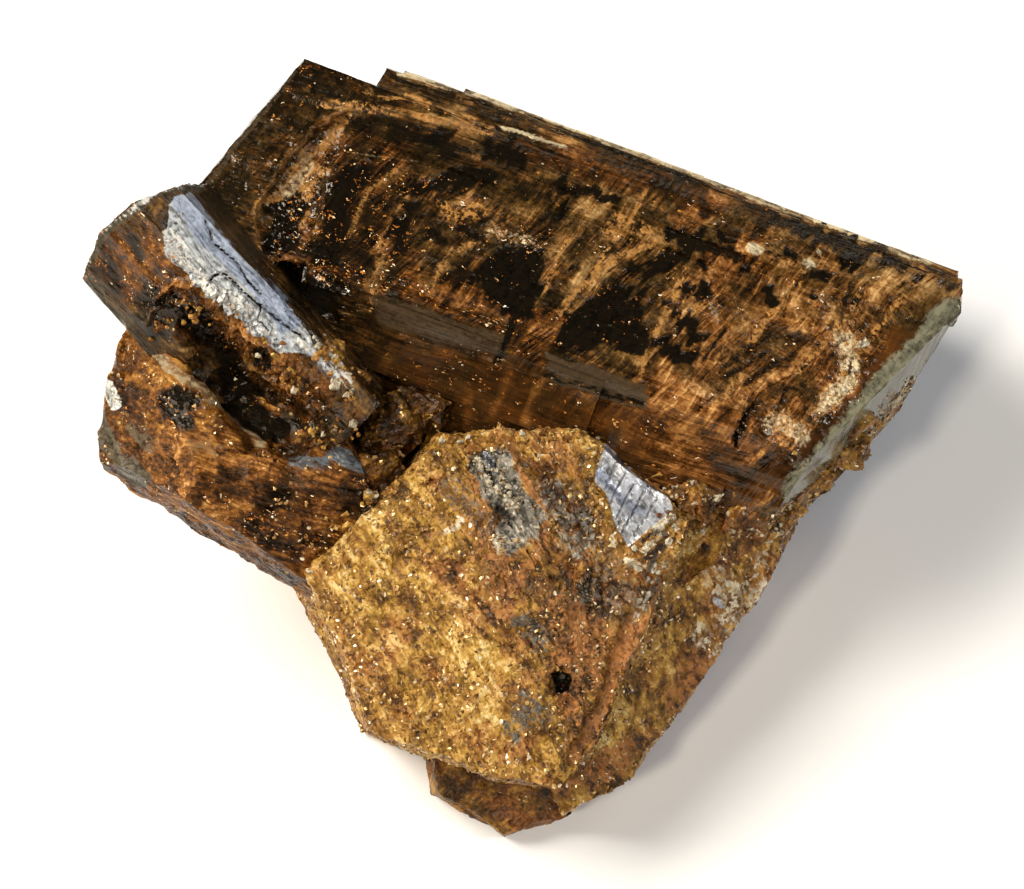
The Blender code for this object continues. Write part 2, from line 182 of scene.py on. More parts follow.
# What shows where, as (mark, strength, width, and the path's points). A path that ends where it starts is
# a patch, and its width is how soft its border is. "Lift" is in millimetres, and below zero a hollow.
MAIN_MARKS = (
    # the broken patch beside the left crystal
    ("lift", -0.9, 12, (345, 116), (338, 150), (326, 176), (318, 215), (300, 244), (264, 254), (258, 215),
        (266, 190), (288, 160), (316, 126), (345, 116)),
    *on_one_path((("lift", 0.35, 4), ("ochre", 1.0, 4)), (350, 106), (322, 124), (292, 152), (268, 190),
        (258, 212)),
    ("lift", -0.9, 16, (262, 262), (300, 268), (345, 292), (332, 318), (292, 318), (262, 290), (262, 262)),
    ("black", 0.8, 12, (262, 262), (300, 268), (345, 292), (332, 322), (292, 322), (262, 290), (262, 262)),
    ("pale", 0.35, 3, (342, 110), (316, 130), (288, 158)),
    ("ochre", 0.7, 7, (262, 196), (256, 222), (262, 246), (276, 256)),
    ("warm", 1.0, 12, (338, 138), (326, 156)),
    ("ochre", 0.6, 11, (316, 146), (300, 168), (292, 184)),
    ("pale", 0.45, 9, (312, 154), (298, 172), (288, 186)),
    ("rough", 1.3, 24, (318, 145), (295, 185), (285, 235)),
    ("black", 0.8, 12, (292, 204), (284, 236)),
    ("glint", 1.2, 16, (300, 180), (310, 216), (280, 244)),
    ("silver", 0.8, 3, (314, 196), (306, 214)),
    *on_one_path((("ochre", 1.0, 3), ("warm", 1.0, 6)), (308, 214), (300, 234)),
    ("silver", 0.6, 4, (272, 244), (284, 238)),
    ("silver", 0.7, 3, (312, 222), (318, 228)),
    ("ochre", 0.6, 7, (266, 254), (300, 262), (330, 268)),
    ("warm", 0.9, 10, (280, 258), (346, 270)),
    ("glint", 1.0, 14, (266, 250), (310, 264), (350, 272)),
    ("black", 0.4, 26, (250, 90), (300, 82)),
    ("rough", 0.35, 24, (232, 190), (250, 150), (262, 120)),
    # tan stain in the widest cracks
    ("rust", 0.8, 4, (353, 104), (327, 139), (298, 163), (283, 189), (259, 204), (258, 225), (262, 254),
        (271, 272)),
    ("rust", 0.7, 9, (318, 160), (306, 186)),
    ("rust", 0.8, 2, (309, 207), (293, 236), (289, 251)),
    ("rust", 0.7, 3, (395, 169), (368, 189), (356, 219), (348, 236)),
    ("rust", 0.7, 2, (418, 183), (401, 204), (389, 225), (380, 248), (374, 278), (371, 310)),
    ("rust", 0.35, 6, (436, 200), (460, 205), (486, 204), (488, 216), (460, 222), (440, 214), (436, 200)),
    ("rust", 0.7, 3, (474, 242), (454, 251), (442, 266), (433, 286)),
    ("rust", 0.55, 4, (318, 103), (353, 104), (395, 113), (436, 119), (489, 133)),
    ("rust", 0.6, 2, (368, 92), (389, 98), (412, 95), (430, 104)),
    ("rust", 0.75, 3, (670, 238), (620, 256), (574, 291), (559, 313)),
    ("rust", 0.7, 2, (648, 188), (627, 224), (613, 241), (586, 284)),
    ("rust", 0.6, 2, (609, 191), (588, 213), (560, 250), (545, 290)),
    ("rust", 0.6, 3, (684, 270), (670, 306), (649, 349), (641, 377)),
    ("rust", 0.6, 2, (618, 351), (649, 360)),
    ("rust", 0.6, 3, (722, 256), (700, 296), (684, 330)),
    ("rust", 0.6, 3, (806, 270), (768, 320), (742, 352)),
    ("rust", 0.5, 3, (864, 290), (826, 342), (796, 372)),
    ("rust", 0.5, 3, (900, 300), (868, 340), (856, 360)),
    ("rust", 0.7, 2, (742, 376), (720, 404)),
    ("rust", 0.4, 8, (606, 206), (640, 214), (664, 232), (640, 244), (606, 236), (596, 220), (606, 206)),
    ("tone", 0.06, 110, (740, 310), (850, 350)),
    ("tone", 0.07, 50, (400, 384), (520, 412), (660, 450)),
    *on_one_path((("crumbly", 0.9, 34), ("tone", 0.03, 34)), (234, 160), (284, 96), (350, 88)),
    ("violet", 0.9, 3, (207, 184), (232, 150), (262, 112), (298, 66)),
    ("crumbly", 0.5, 30, (300, 190), (292, 240), (330, 262)),
    ("crumbly", 0.6, 14, (440, 210), (500, 232), (540, 240)),
    # the long ledges under the upper edge
    ("ochre", 0.75, 5, (270, 87), (310, 92), (345, 107), (415, 112), (455, 122), (490, 132)),
    ("ochre", 0.7, 6, (425, 118), (480, 136)),
    ("lift", 0.22, 4, (298, 96), (422, 114), (494, 128)),
    ("pale", 0.9, 2, (502, 127), (530, 135), (566, 147)),
    ("lift", 0.28, 4, (480, 121), (566, 146)),
    ("ochre", 0.6, 5, (365, 82), (380, 96), (400, 92), (430, 106)),
    ("ochre", 0.5, 5, (452, 106), (470, 122)),
    ("cross", -1.5, 9, (384, 67), (470, 92), (560, 124), (640, 152), (760, 202), (850, 237), (950, 272)),
    ("pale", 0.60, 4, (400, 72), (480, 95), (567, 126), (647, 155), (700, 175), (760, 200), (850, 232),
        (930, 262)),
    ("black", 0.6, 1, (400, 80), (480, 103), (567, 134), (647, 163), (700, 183), (760, 208), (850, 242),
        (930, 272)),
    ("warm", 0.8, 14, (530, 150), (640, 176), (700, 205)),
    ("black", 0.9, 9, (494, 146), (524, 154)),
    ("black", 0.5, 9, (400, 134), (450, 146)),
    ("black", 0.35, 9, (640, 188), (690, 205), (740, 228)),
    ("violet", 0.5, 1, (610, 186), (676, 212), (742, 244)),
    ("pale", 0.4, 1, (347, 151), (380, 156), (420, 161)),
    ("pale", 0.2, 2, (440, 168), (520, 184), (600, 204)),
    ("ochre", 0.45, 5, (540, 172), (640, 198), (740, 240), (850, 270), (950, 290)),
    ("warm", 1.0, 9, (327, 122), (350, 140)),
    ("ochre", 0.45, 9, (328, 122), (352, 140)),
    # the middle left: brown glass with fiery breaks, and ochre arcs
    ("warm", 0.4, 45, (378, 160), (372, 240)),
    ("crumbly", 0.4, 100, (400, 220), (560, 260), (680, 300)),
    ("black", 0.55, 5, (404, 196), (416, 206)),
    ("black", 0.6, 5, (432, 232), (444, 240)),
    ("black", 0.6, 4, (462, 226), (476, 232)),
    ("black", 0.5, 7, (520, 190), (548, 200)),
    ("black", 0.6, 4, (628, 268), (648, 274)),
    ("black", 0.7, 5, (700, 284), (706, 296)),
    ("black", 0.7, 4, (668, 300), (676, 312)),
    ("black", 0.35, 44, (366, 190), (350, 260)),
    ("glint", 0.3, 40, (380, 190), (372, 250)),
    ("ochre", 0.6, 5, (404, 166), (378, 188), (360, 210), (350, 234)),
    ("ochre", 0.95, 4, (458, 169), (432, 180), (412, 194), (394, 214), (384, 236), (376, 272)),
    ("ochre", 0.5, 8, (388, 238), (378, 262), (374, 290)),
    ("glint", 0.9, 12, (392, 240), (382, 270), (376, 300)),
    ("black", 0.7, 10, (352, 170), (342, 204), (330, 250)),
    ("black", 0.6, 9, (398, 222), (400, 250)),
    ("black", 0.9, 9, (424, 184), (488, 176)),
    ("ochre", 0.8, 7, (444, 214), (462, 202), (486, 208)),
    ("ochre", 0.5, 6, (486, 226), (520, 216), (560, 196)),
    ("glint", 1.0, 7, (488, 232), (532, 240)),
    # painted glints: a pale streak where white-grey glints show
    ("pale", 0.38, 6, (492, 229), (512, 236), (530, 240)),
    ("rough", 0.8, 8, (490, 229), (530, 240)),
    ("ochre", 0.9, 5, (474, 244), (452, 254), (440, 272), (431, 290)),
    ("black", 1.1, 10, (484, 262), (520, 244), (544, 250), (542, 290), (534, 316), (510, 318), (486, 300),
        (484, 262)),
    ("black", 0.6, 8, (446, 278), (478, 274)),
    ("black", 0.8, 8, (560, 184), (610, 200)),
    ("warm", 0.9, 17, (410, 288), (470, 300), (560, 324)),
    ("glint", 1.0, 13, (412, 290), (470, 306), (560, 330)),
    ("ochre", 0.35, 10, (410, 288), (480, 304), (560, 326)),
    ("ochre", 0.75, 10, (606, 196), (576, 224), (548, 262), (534, 312)),
    ("ochre", 0.55, 6, (640, 190), (612, 222), (586, 262), (564, 312)),
    ("ochre", 0.65, 12, (586, 216), (640, 236), (664, 240)),
    ("ochre", 0.7, 6, (660, 238), (610, 258), (568, 286)),
    ("ochre", 0.95, 4, (612, 262), (590, 290), (570, 312)),
    ("black", 0.9, 3, (523, 300), (510, 330), (496, 362)),
    ("black", 1.1, 12, (566, 306), (590, 296), (612, 290), (644, 292), (646, 350), (610, 352), (560, 344),
        (566, 306)),
    ("ochre", 0.55, 3, (638, 286), (620, 320), (604, 344)),
    ("ochre", 0.45, 3, (622, 284), (600, 322)),
    ("black", 0.9, 7, (654, 266), (690, 254)),
    ("black", 0.95, 8, (660, 340), (688, 358)),
    ("black", 0.85, 7, (680, 322), (702, 336)),
    ("black", 0.7, 6, (684, 288), (700, 300)),
    ("glint", 1.0, 4, (604, 336), (622, 344)),
    ("ochre", 0.7, 4, (682, 280), (660, 330), (646, 360)),
    ("ochre", 0.6, 4, (702, 270), (690, 298), (676, 322)),
    ("ochre", 0.8, 3, (616, 350), (644, 362)),
    # the ridge and the glass bands on it
    ("violet", 0.62, 6, (368, 291), (436, 310), (504, 334), (502, 358), (438, 344), (374, 326), (368, 291)),
    ("clean", 0.8, 6, (366, 292), (504, 334), (502, 358), (372, 326), (366, 292)),
    ("cross", -1.0, 8, (366, 290), (504, 334), (502, 358), (372, 328), (366, 290)),
    ("pale", 0.3, 1, (376, 330), (425, 347), (467, 357)),
    ("pale", 0.35, 1, (548, 382), (600, 400), (655, 417)),
    ("lift", 0.20, 4, (400, 338), (560, 382), (650, 410)),
    ("violet", 0.70, 5, (543, 350), (596, 366), (648, 386), (648, 410), (600, 398), (552, 382), (543, 350)),
    *on_one_path((("clean", 1.0, 5), ("cross", -1.0, 6)), (541, 350), (648, 386), (650, 412), (552, 384),
        (541, 350)),
    ("black", 0.6, 3, (546, 376), (600, 392), (642, 404)),
    ("warm", 0.9, 12, (500, 340), (540, 352)),
    # the smooth dark red glass under the ridge
    ("clean", 1.0, 44, (390, 384), (470, 398), (600, 436)),
    ("glint", 0.5, 40, (420, 384), (620, 436)),
    ("warm", 0.6, 50, (400, 380), (520, 412), (660, 456)),
    ("ochre", 0.6, 4, (470, 395), (465, 432)),
    ("ochre", 0.8, 4, (542, 382), (530, 400), (526, 428)),
    ("ochre", 0.5, 4, (508, 374), (490, 420)),
    ("ochre", 0.45, 5, (390, 356), (372, 386), (380, 420)),
    ("ochre", 0.5, 10, (590, 410), (626, 430)),
    # painted shade: a small hole, sunk and coloured near black inside
    ("lift", -1.3, 12, (384, 430), (388, 448)),
    ("black", 1.0, 14, (384, 428), (388, 450)),
    # the right: ochre and glass in streaks across the crystal
    ("cross", 1.0, 120, (640, 300), (760, 330), (860, 350)),
    ("cross", 1.0, 70, (330, 190), (430, 240), (560, 260), (600, 330)),
    ("ochre", 0.32, 90, (740, 310), (850, 350)),
    ("warm", 0.45, 70, (730, 330), (850, 360)),
    ("crumbly", 0.8, 26, (716, 350), (744, 320), (800, 300), (900, 290), (920, 310), (866, 400), (800, 440),
        (730, 420), (700, 390), (716, 350)),
    ("crumbly", 0.5, 20, (680, 230), (760, 236), (860, 270)),
    ("black", 0.8, 4, (668, 232), (676, 236)),
    ("black", 0.9, 4, (722, 232), (734, 240)),
    ("black", 0.9, 4, (786, 252), (794, 256)),
    ("black", 0.8, 3, (742, 268), (750, 270)),
    ("black", 0.9, 3, (700, 262), (706, 268)),
    ("black", 0.8, 3, (812, 294), (818, 296)),
    ("black", 0.7, 2, (690, 310), (676, 336)),
    ("black", 0.7, 2, (724, 330), (704, 360)),
    ("ochre", 0.55, 14, (790, 310), (740, 330), (716, 356)),
    ("warm", 0.8, 16, (712, 274), (742, 246)),
    ("ochre", 0.75, 10, (716, 270), (738, 250)),
    ("warm", 0.7, 14, (680, 226), (716, 200)),
    ("ochre", 0.35, 12, (684, 222), (716, 200)),
    *on_one_path((("pale", 0.9, 6), ("lift", 0.08, 6)), (752, 248), (758, 252)),
    # painted glint: a pale speck for a small white glint
    ("pale", 1.2, 2, (818, 250), (820, 252)),
    ("pale", 0.7, 5, (808, 263), (813, 266)),
    ("ochre", 1.1, 7, (874, 297), (880, 301)),
    ("ochre", 1.1, 5, (794, 326), (808, 328)),
    ("ochre", 0.9, 5, (828, 318), (834, 322)),
    ("glint", 1.2, 5, (712, 300), (716, 318)),
    # painted glints: pale specks where white sparkles show
    ("pale", 0.40, 5, (711, 302), (715, 316)),
    ("rough", 0.8, 7, (711, 300), (715, 318)),
    ("black", 1.1, 7, (844, 259), (856, 262)),
    ("black", 1.0, 6, (766, 293), (778, 297)),
    ("black", 0.8, 6, (818, 274), (826, 276)),
    ("black", 0.5, 5, (794, 334), (802, 337)),
    ("black", 0.75, 7, (676, 236), (740, 256)),
    ("black", 0.6, 8, (760, 220), (840, 240), (900, 264)),
    ("black", 0.6, 3, (765, 352), (730, 374)),
    ("black", 0.6, 3, (776, 362), (742, 386)),
    ("black", 0.5, 3, (752, 344), (722, 368)),
    ("black", 0.4, 4, (786, 312), (764, 336)),
    ("ochre", 0.8, 5, (776, 368), (758, 382)),
    ("ochre", 0.75, 5, (742, 376), (716, 408)),
    ("ochre", 0.6, 5, (812, 344), (784, 380)),
    ("pale", 0.35, 9, (692, 386), (710, 400)),
    ("ochre", 0.75, 8, (738, 392), (748, 402)),
    ("warm", 0.9, 26, (660, 396), (704, 430), (736, 430)),
    ("ochre", 0.5, 20, (668, 384), (690, 420)),
    ("ochre", 0.5, 12, (716, 424), (734, 436)),
    ("ochre", 0.5, 12, (870, 286), (940, 298)),
    *on_one_path((("ochre", 0.5, 12), ("crumbly", 0.8, 14)), (836, 310), (852, 342), (854, 368), (844, 390),
        (824, 408)),
    ("pale", 0.62, 10, (834, 330), (852, 332), (862, 364), (850, 396), (822, 414), (812, 404), (836, 380),
        (842, 356), (834, 330)),
    ("glint", 1.2, 12, (842, 340), (853, 366), (844, 390), (824, 407)),
    ("lift", 0.35, 12, (836, 312), (852, 342), (854, 368), (844, 390), (824, 408)),
    ("rough", 1.2, 18, (836, 300), (852, 338), (856, 370), (842, 390), (826, 412)),
    *on_one_path((("ochre", 0.8, 8), ("lift", 0.5, 12)), (770, 424), (786, 412), (804, 424), (806, 440),
        (790, 452), (772, 444), (770, 424)),
    ("warm", 0.5, 20, (778, 422), (796, 446)),
    ("pale", 0.5, 12, (778, 420), (800, 436)),
    *on_one_path((("rough", 1.2, 20), ("crumbly", 1.0, 20)), (776, 424), (792, 450)),
    # painted shade: a thin S-shaped crack, sunk a little and coloured near black along it
    *on_one_path((("lift", -0.5, 2), ("black", 0.9, 2)), (757, 402), (746, 412), (742, 428), (734, 440),
        (735, 450)),
    ("black", 0.5, 5, (744, 420), (738, 444)),
    ("ochre", 0.6, 6, (748, 398), (732, 422), (726, 446)),
    ("warm", 0.7, 50, (640, 430), (740, 470), (700, 500)),
    ("ochre", 0.25, 60, (660, 430), (740, 480)),
    # the right end and its smooth rim
    ("clean", 1.0, 20, (944, 310), (884, 396), (834, 446), (792, 490)),
    ("cross", 1.0, 40, (950, 290), (884, 380), (820, 446), (780, 500)),
    # painted reflection: the smooth rim's grey-olive sheen is laid as colour
    ("blue", 1.0, 20, (952, 316), (924, 352), (882, 398), (840, 450), (804, 494)),
    ("pale", 0.12, 8, (944, 312), (884, 398), (834, 448), (792, 490)),
    *on_one_path((("warm", 0.6, 10), ("clean", 0.8, 10)), (902, 330), (870, 380), (830, 432), (790, 462),
        (752, 490)),
    *on_one_path((("mica", 0.9, 10), ("ochre", 0.9, 10)), (912, 390), (862, 452), (802, 510), (762, 545)),
)
LEFT_MARKS = (
    # painted reflection: the pearly face's silvery and bluish grey sheen is laid as colour
    ("silver", 1.0, 3, (170, 206), (178, 196), (192, 191), (204, 208), (218, 232), (241, 257), (262, 274),
        (269, 290), (291, 312), (312, 338), (308, 352), (280, 352), (249, 332), (226, 313), (210, 302),
        (194, 282), (180, 268), (165, 256), (162, 240), (168, 226), (170, 206)),
    ("blue", 1.0, 11, (186, 204), (206, 232), (236, 264), (262, 290), (290, 322)),
    ("pale", 0.7, 7, (204, 282), (222, 294), (246, 310)),
    ("pale", 0.5, 8, (170, 234), (184, 256), (200, 270)),
    ("pale", 0.9, 4, (298, 342), (306, 348)),
    *on_one_path((("black", 1.0, 1), ("lift", -0.30, 2)), (210, 282), (215, 276), (226, 273), (234, 281),
        (245, 292), (262, 306), (285, 324), (307, 340)),
    *on_one_path((("black", 0.9, 1), ("lift", -0.2, 2)), (207, 220), (215, 243), (238, 262), (249, 281),
        (262, 294)),
    ("black", 0.7, 1, (186, 258), (198, 262), (206, 272)),
    ("black", 0.7, 1, (262, 306), (258, 318), (268, 330)),
    ("rough", 0.35, 16, (214, 284), (262, 312), (300, 344)),
    *on_one_path((("violet", 0.5, 12), ("clean", 1.0, 14), ("black", 0.35, 8)), (212, 196), (230, 222),
        (256, 252)),
    ("pale", 0.35, 4, (132, 212), (150, 196), (176, 185), (206, 178)),
    ("ochre", 0.6, 5, (164, 252), (196, 284), (226, 316), (256, 338), (290, 362)),
    ("warm", 0.8, 12, (164, 256), (196, 290), (226, 320), (262, 344)),
    ("glint", 1.0, 10, (170, 262), (226, 318), (270, 346)),
    ("warm", 0.8, 34, (116, 262), (150, 262)),
    ("crumbly", 0.9, 30, (122, 266), (146, 236), (160, 290), (200, 320)),
    ("ochre", 0.5, 9, (120, 250), (134, 270), (128, 292)),
    ("ochre", 0.5, 7, (140, 226), (150, 250), (146, 276)),
    ("black", 0.45, 6, (108, 262), (118, 284)),
    ("black", 0.45, 6, (132, 240), (138, 256)),
    ("glint", 0.9, 26, (120, 262), (150, 270)),
    ("violet", 0.8, 4, (92, 262), (100, 238), (126, 216), (154, 196), (180, 186), (202, 186)),
    ("violet", 0.7, 5, (90, 280), (108, 308), (128, 324)),
    ("pale", 0.35, 3, (86, 276), (92, 250), (100, 234), (124, 216), (150, 194), (182, 184), (204, 182)),
    ("pale", 0.30, 3, (86, 282), (104, 308), (126, 326)),
    ("ochre", 0.6, 7, (92, 240), (120, 220), (146, 206), (160, 206)),
    ("ochre", 0.6, 7, (158, 212), (154, 236), (168, 262)),
    ("ochre", 0.5, 8, (96, 296), (124, 312), (150, 300)),
    ("black", 0.4, 6, (88, 284), (104, 306), (120, 324)),
    ("glint", 0.8, 16, (150, 226), (160, 262)),
    ("black", 0.6, 14, (150, 296), (160, 330)),
    ("warm", 0.8, 16, (172, 300), (190, 330)),
    ("black", 0.5, 10, (178, 306), (196, 322)),
    ("ochre", 0.45, 6, (158, 290), (190, 290), (214, 306)),
    ("glint", 0.9, 18, (170, 296), (206, 306)),
    ("pale", 0.45, 8, (318, 352), (346, 382)),
    ("silver", 0.6, 10, (312, 352), (336, 372)),
    ("ochre", 0.8, 14, (330, 350), (360, 404)),
    ("lift", -3.6, 22, *CAVITY),
    # painted shade: the deepest parts of the hollow are coloured near black
    ("black", 1.0, 8, (212, 340), (222, 340), (240, 360), (232, 372), (216, 360), (212, 340)),
    ("black", 1.0, 9, (222, 372), (244, 376), (262, 404), (284, 424), (272, 436), (250, 424), (228, 398),
        (222, 372)),
    ("rough", 2.0, 24, (200, 300), (250, 350), (300, 400), (320, 430)),
    *on_one_path((("ochre", 1.2, 2), ("lift", 0.5, 3)), (147, 324), (157, 297), (176, 281), (207, 285),
        (225, 300)),
    ("ochre", 1.0, 2, (153, 324), (160, 340), (180, 352), (196, 350)),
    ("black", 0.9, 9, (176, 306), (190, 318), (204, 336)),
    *on_one_path((("ochre", 1.0, 2), ("lift", 0.5, 3)), (232, 330), (246, 346), (250, 366), (268, 380),
        (290, 392)),
    ("black", 0.9, 6, (258, 352), (266, 364)),
    ("black", 0.9, 6, (286, 404), (300, 418)),
    ("rough", 1.6, 16, (160, 300), (200, 300), (236, 330)),
    ("crumbly", 1.0, 26, (180, 290), (240, 330), (300, 390), (340, 410)),
    ("warm", 1.0, 22, (236, 326), (284, 370), (310, 400)),
    ("ochre", 0.65, 14, (228, 318), (262, 350), (296, 392)),
    ("ochre", 0.5, 10, (270, 344), (310, 372), (330, 400)),
    ("glint", 1.3, 20, (230, 320), (270, 352), (304, 396)),
)
LOWER_LEFT_MARKS = (
    ("lift", -3.4, 20, *CAVITY),
    # painted shade: the deepest parts of the hollow are coloured near black
    ("black", 1.0, 9, (222, 372), (244, 376), (262, 404), (290, 428), (280, 442), (250, 432), (228, 402),
        (222, 372)),
    ("black", 0.6, 10, (206, 372), (240, 420), (262, 436)),
    ("warm", 0.9, 20, (242, 336), (284, 370), (300, 400)),
    ("ochre", 1.2, 2, (209, 351), (213, 385), (226, 408), (249, 431), (280, 443)),
    ("ochre", 0.8, 3, (152, 338), (166, 352), (190, 372)),
    ("ochre", 0.9, 3, (188, 412), (204, 428), (222, 450)),
    ("black", 0.8, 6, (178, 392), (196, 402)),
    ("ochre", 0.6, 16, (246, 330), (290, 370), (306, 400)),
    *on_one_path((("clean", 1.0, 8), ("pale", 0.55, 6)), (150, 350), (176, 372), (200, 390), (232, 420),
        (262, 447)),
    ("lift", 0.45, 9, (146, 346), (200, 392), (262, 450)),
    ("ochre", 0.9, 6, (146, 362), (180, 392), (208, 414)),
    ("mica", 1.0, 7, (150, 372), (186, 398), (216, 428)),
    # painted highlight: a silvery glint
    ("silver", 1.0, 5, (108, 384), (114, 404)),
    ("glint", 0.7, 30, (110, 360), (160, 410)),
    ("clean", 0.9, 12, (96, 412), (104, 440), (124, 466)),
    ("violet", 0.5, 9, (134, 428), (150, 444)),
    ("violet", 0.5, 10, (196, 446), (220, 452)),
    ("violet", 0.8, 9, (98, 412), (104, 440), (126, 468), (140, 480)),
    # painted reflection: the sheen of a glassy facet, laid as bluish grey and silvery colour
    ("blue", 0.6, 8, (292, 460), (324, 466)),
    ("clean", 0.8, 9, (290, 460), (326, 466)),
    ("silver", 0.75, 7, (336, 452), (360, 464), (384, 472)),
    ("blue", 0.9, 9, (336, 452), (360, 466), (386, 472)),
    ("ochre", 0.7, 12, (160, 436), (250, 462), (330, 480)),
    ("warm", 1.0, 40, (150, 470), (280, 500)),
    ("gold", 0.3, 34, (130, 480), (260, 520), (330, 570)),
    ("tone", -0.10, 60, (130, 480), (260, 510), (360, 540)),
    ("fibre", 1.0, 60, (140, 476), (260, 500), (400, 500)),
    ("fibre", 1.0, 40, (240, 540), (320, 560)),
    ("gold", 0.7, 12, (100, 400), (160, 480), (250, 540)),
    ("warm", 0.8, 40, (300, 520), (400, 510)),
    ("black", 0.4, 12, (346, 500), (362, 512)),
    ("black", 0.35, 10, (240, 524), (270, 540)),
    ("glint", 1.0, 20, (170, 500), (260, 520), (320, 540)),
    ("black", 0.6, 10, (166, 400), (190, 424)),
    ("warm", 0.6, 12, (160, 402), (196, 430)),
    ("ochre", 0.6, 18, (130, 330), (130, 360)),
)
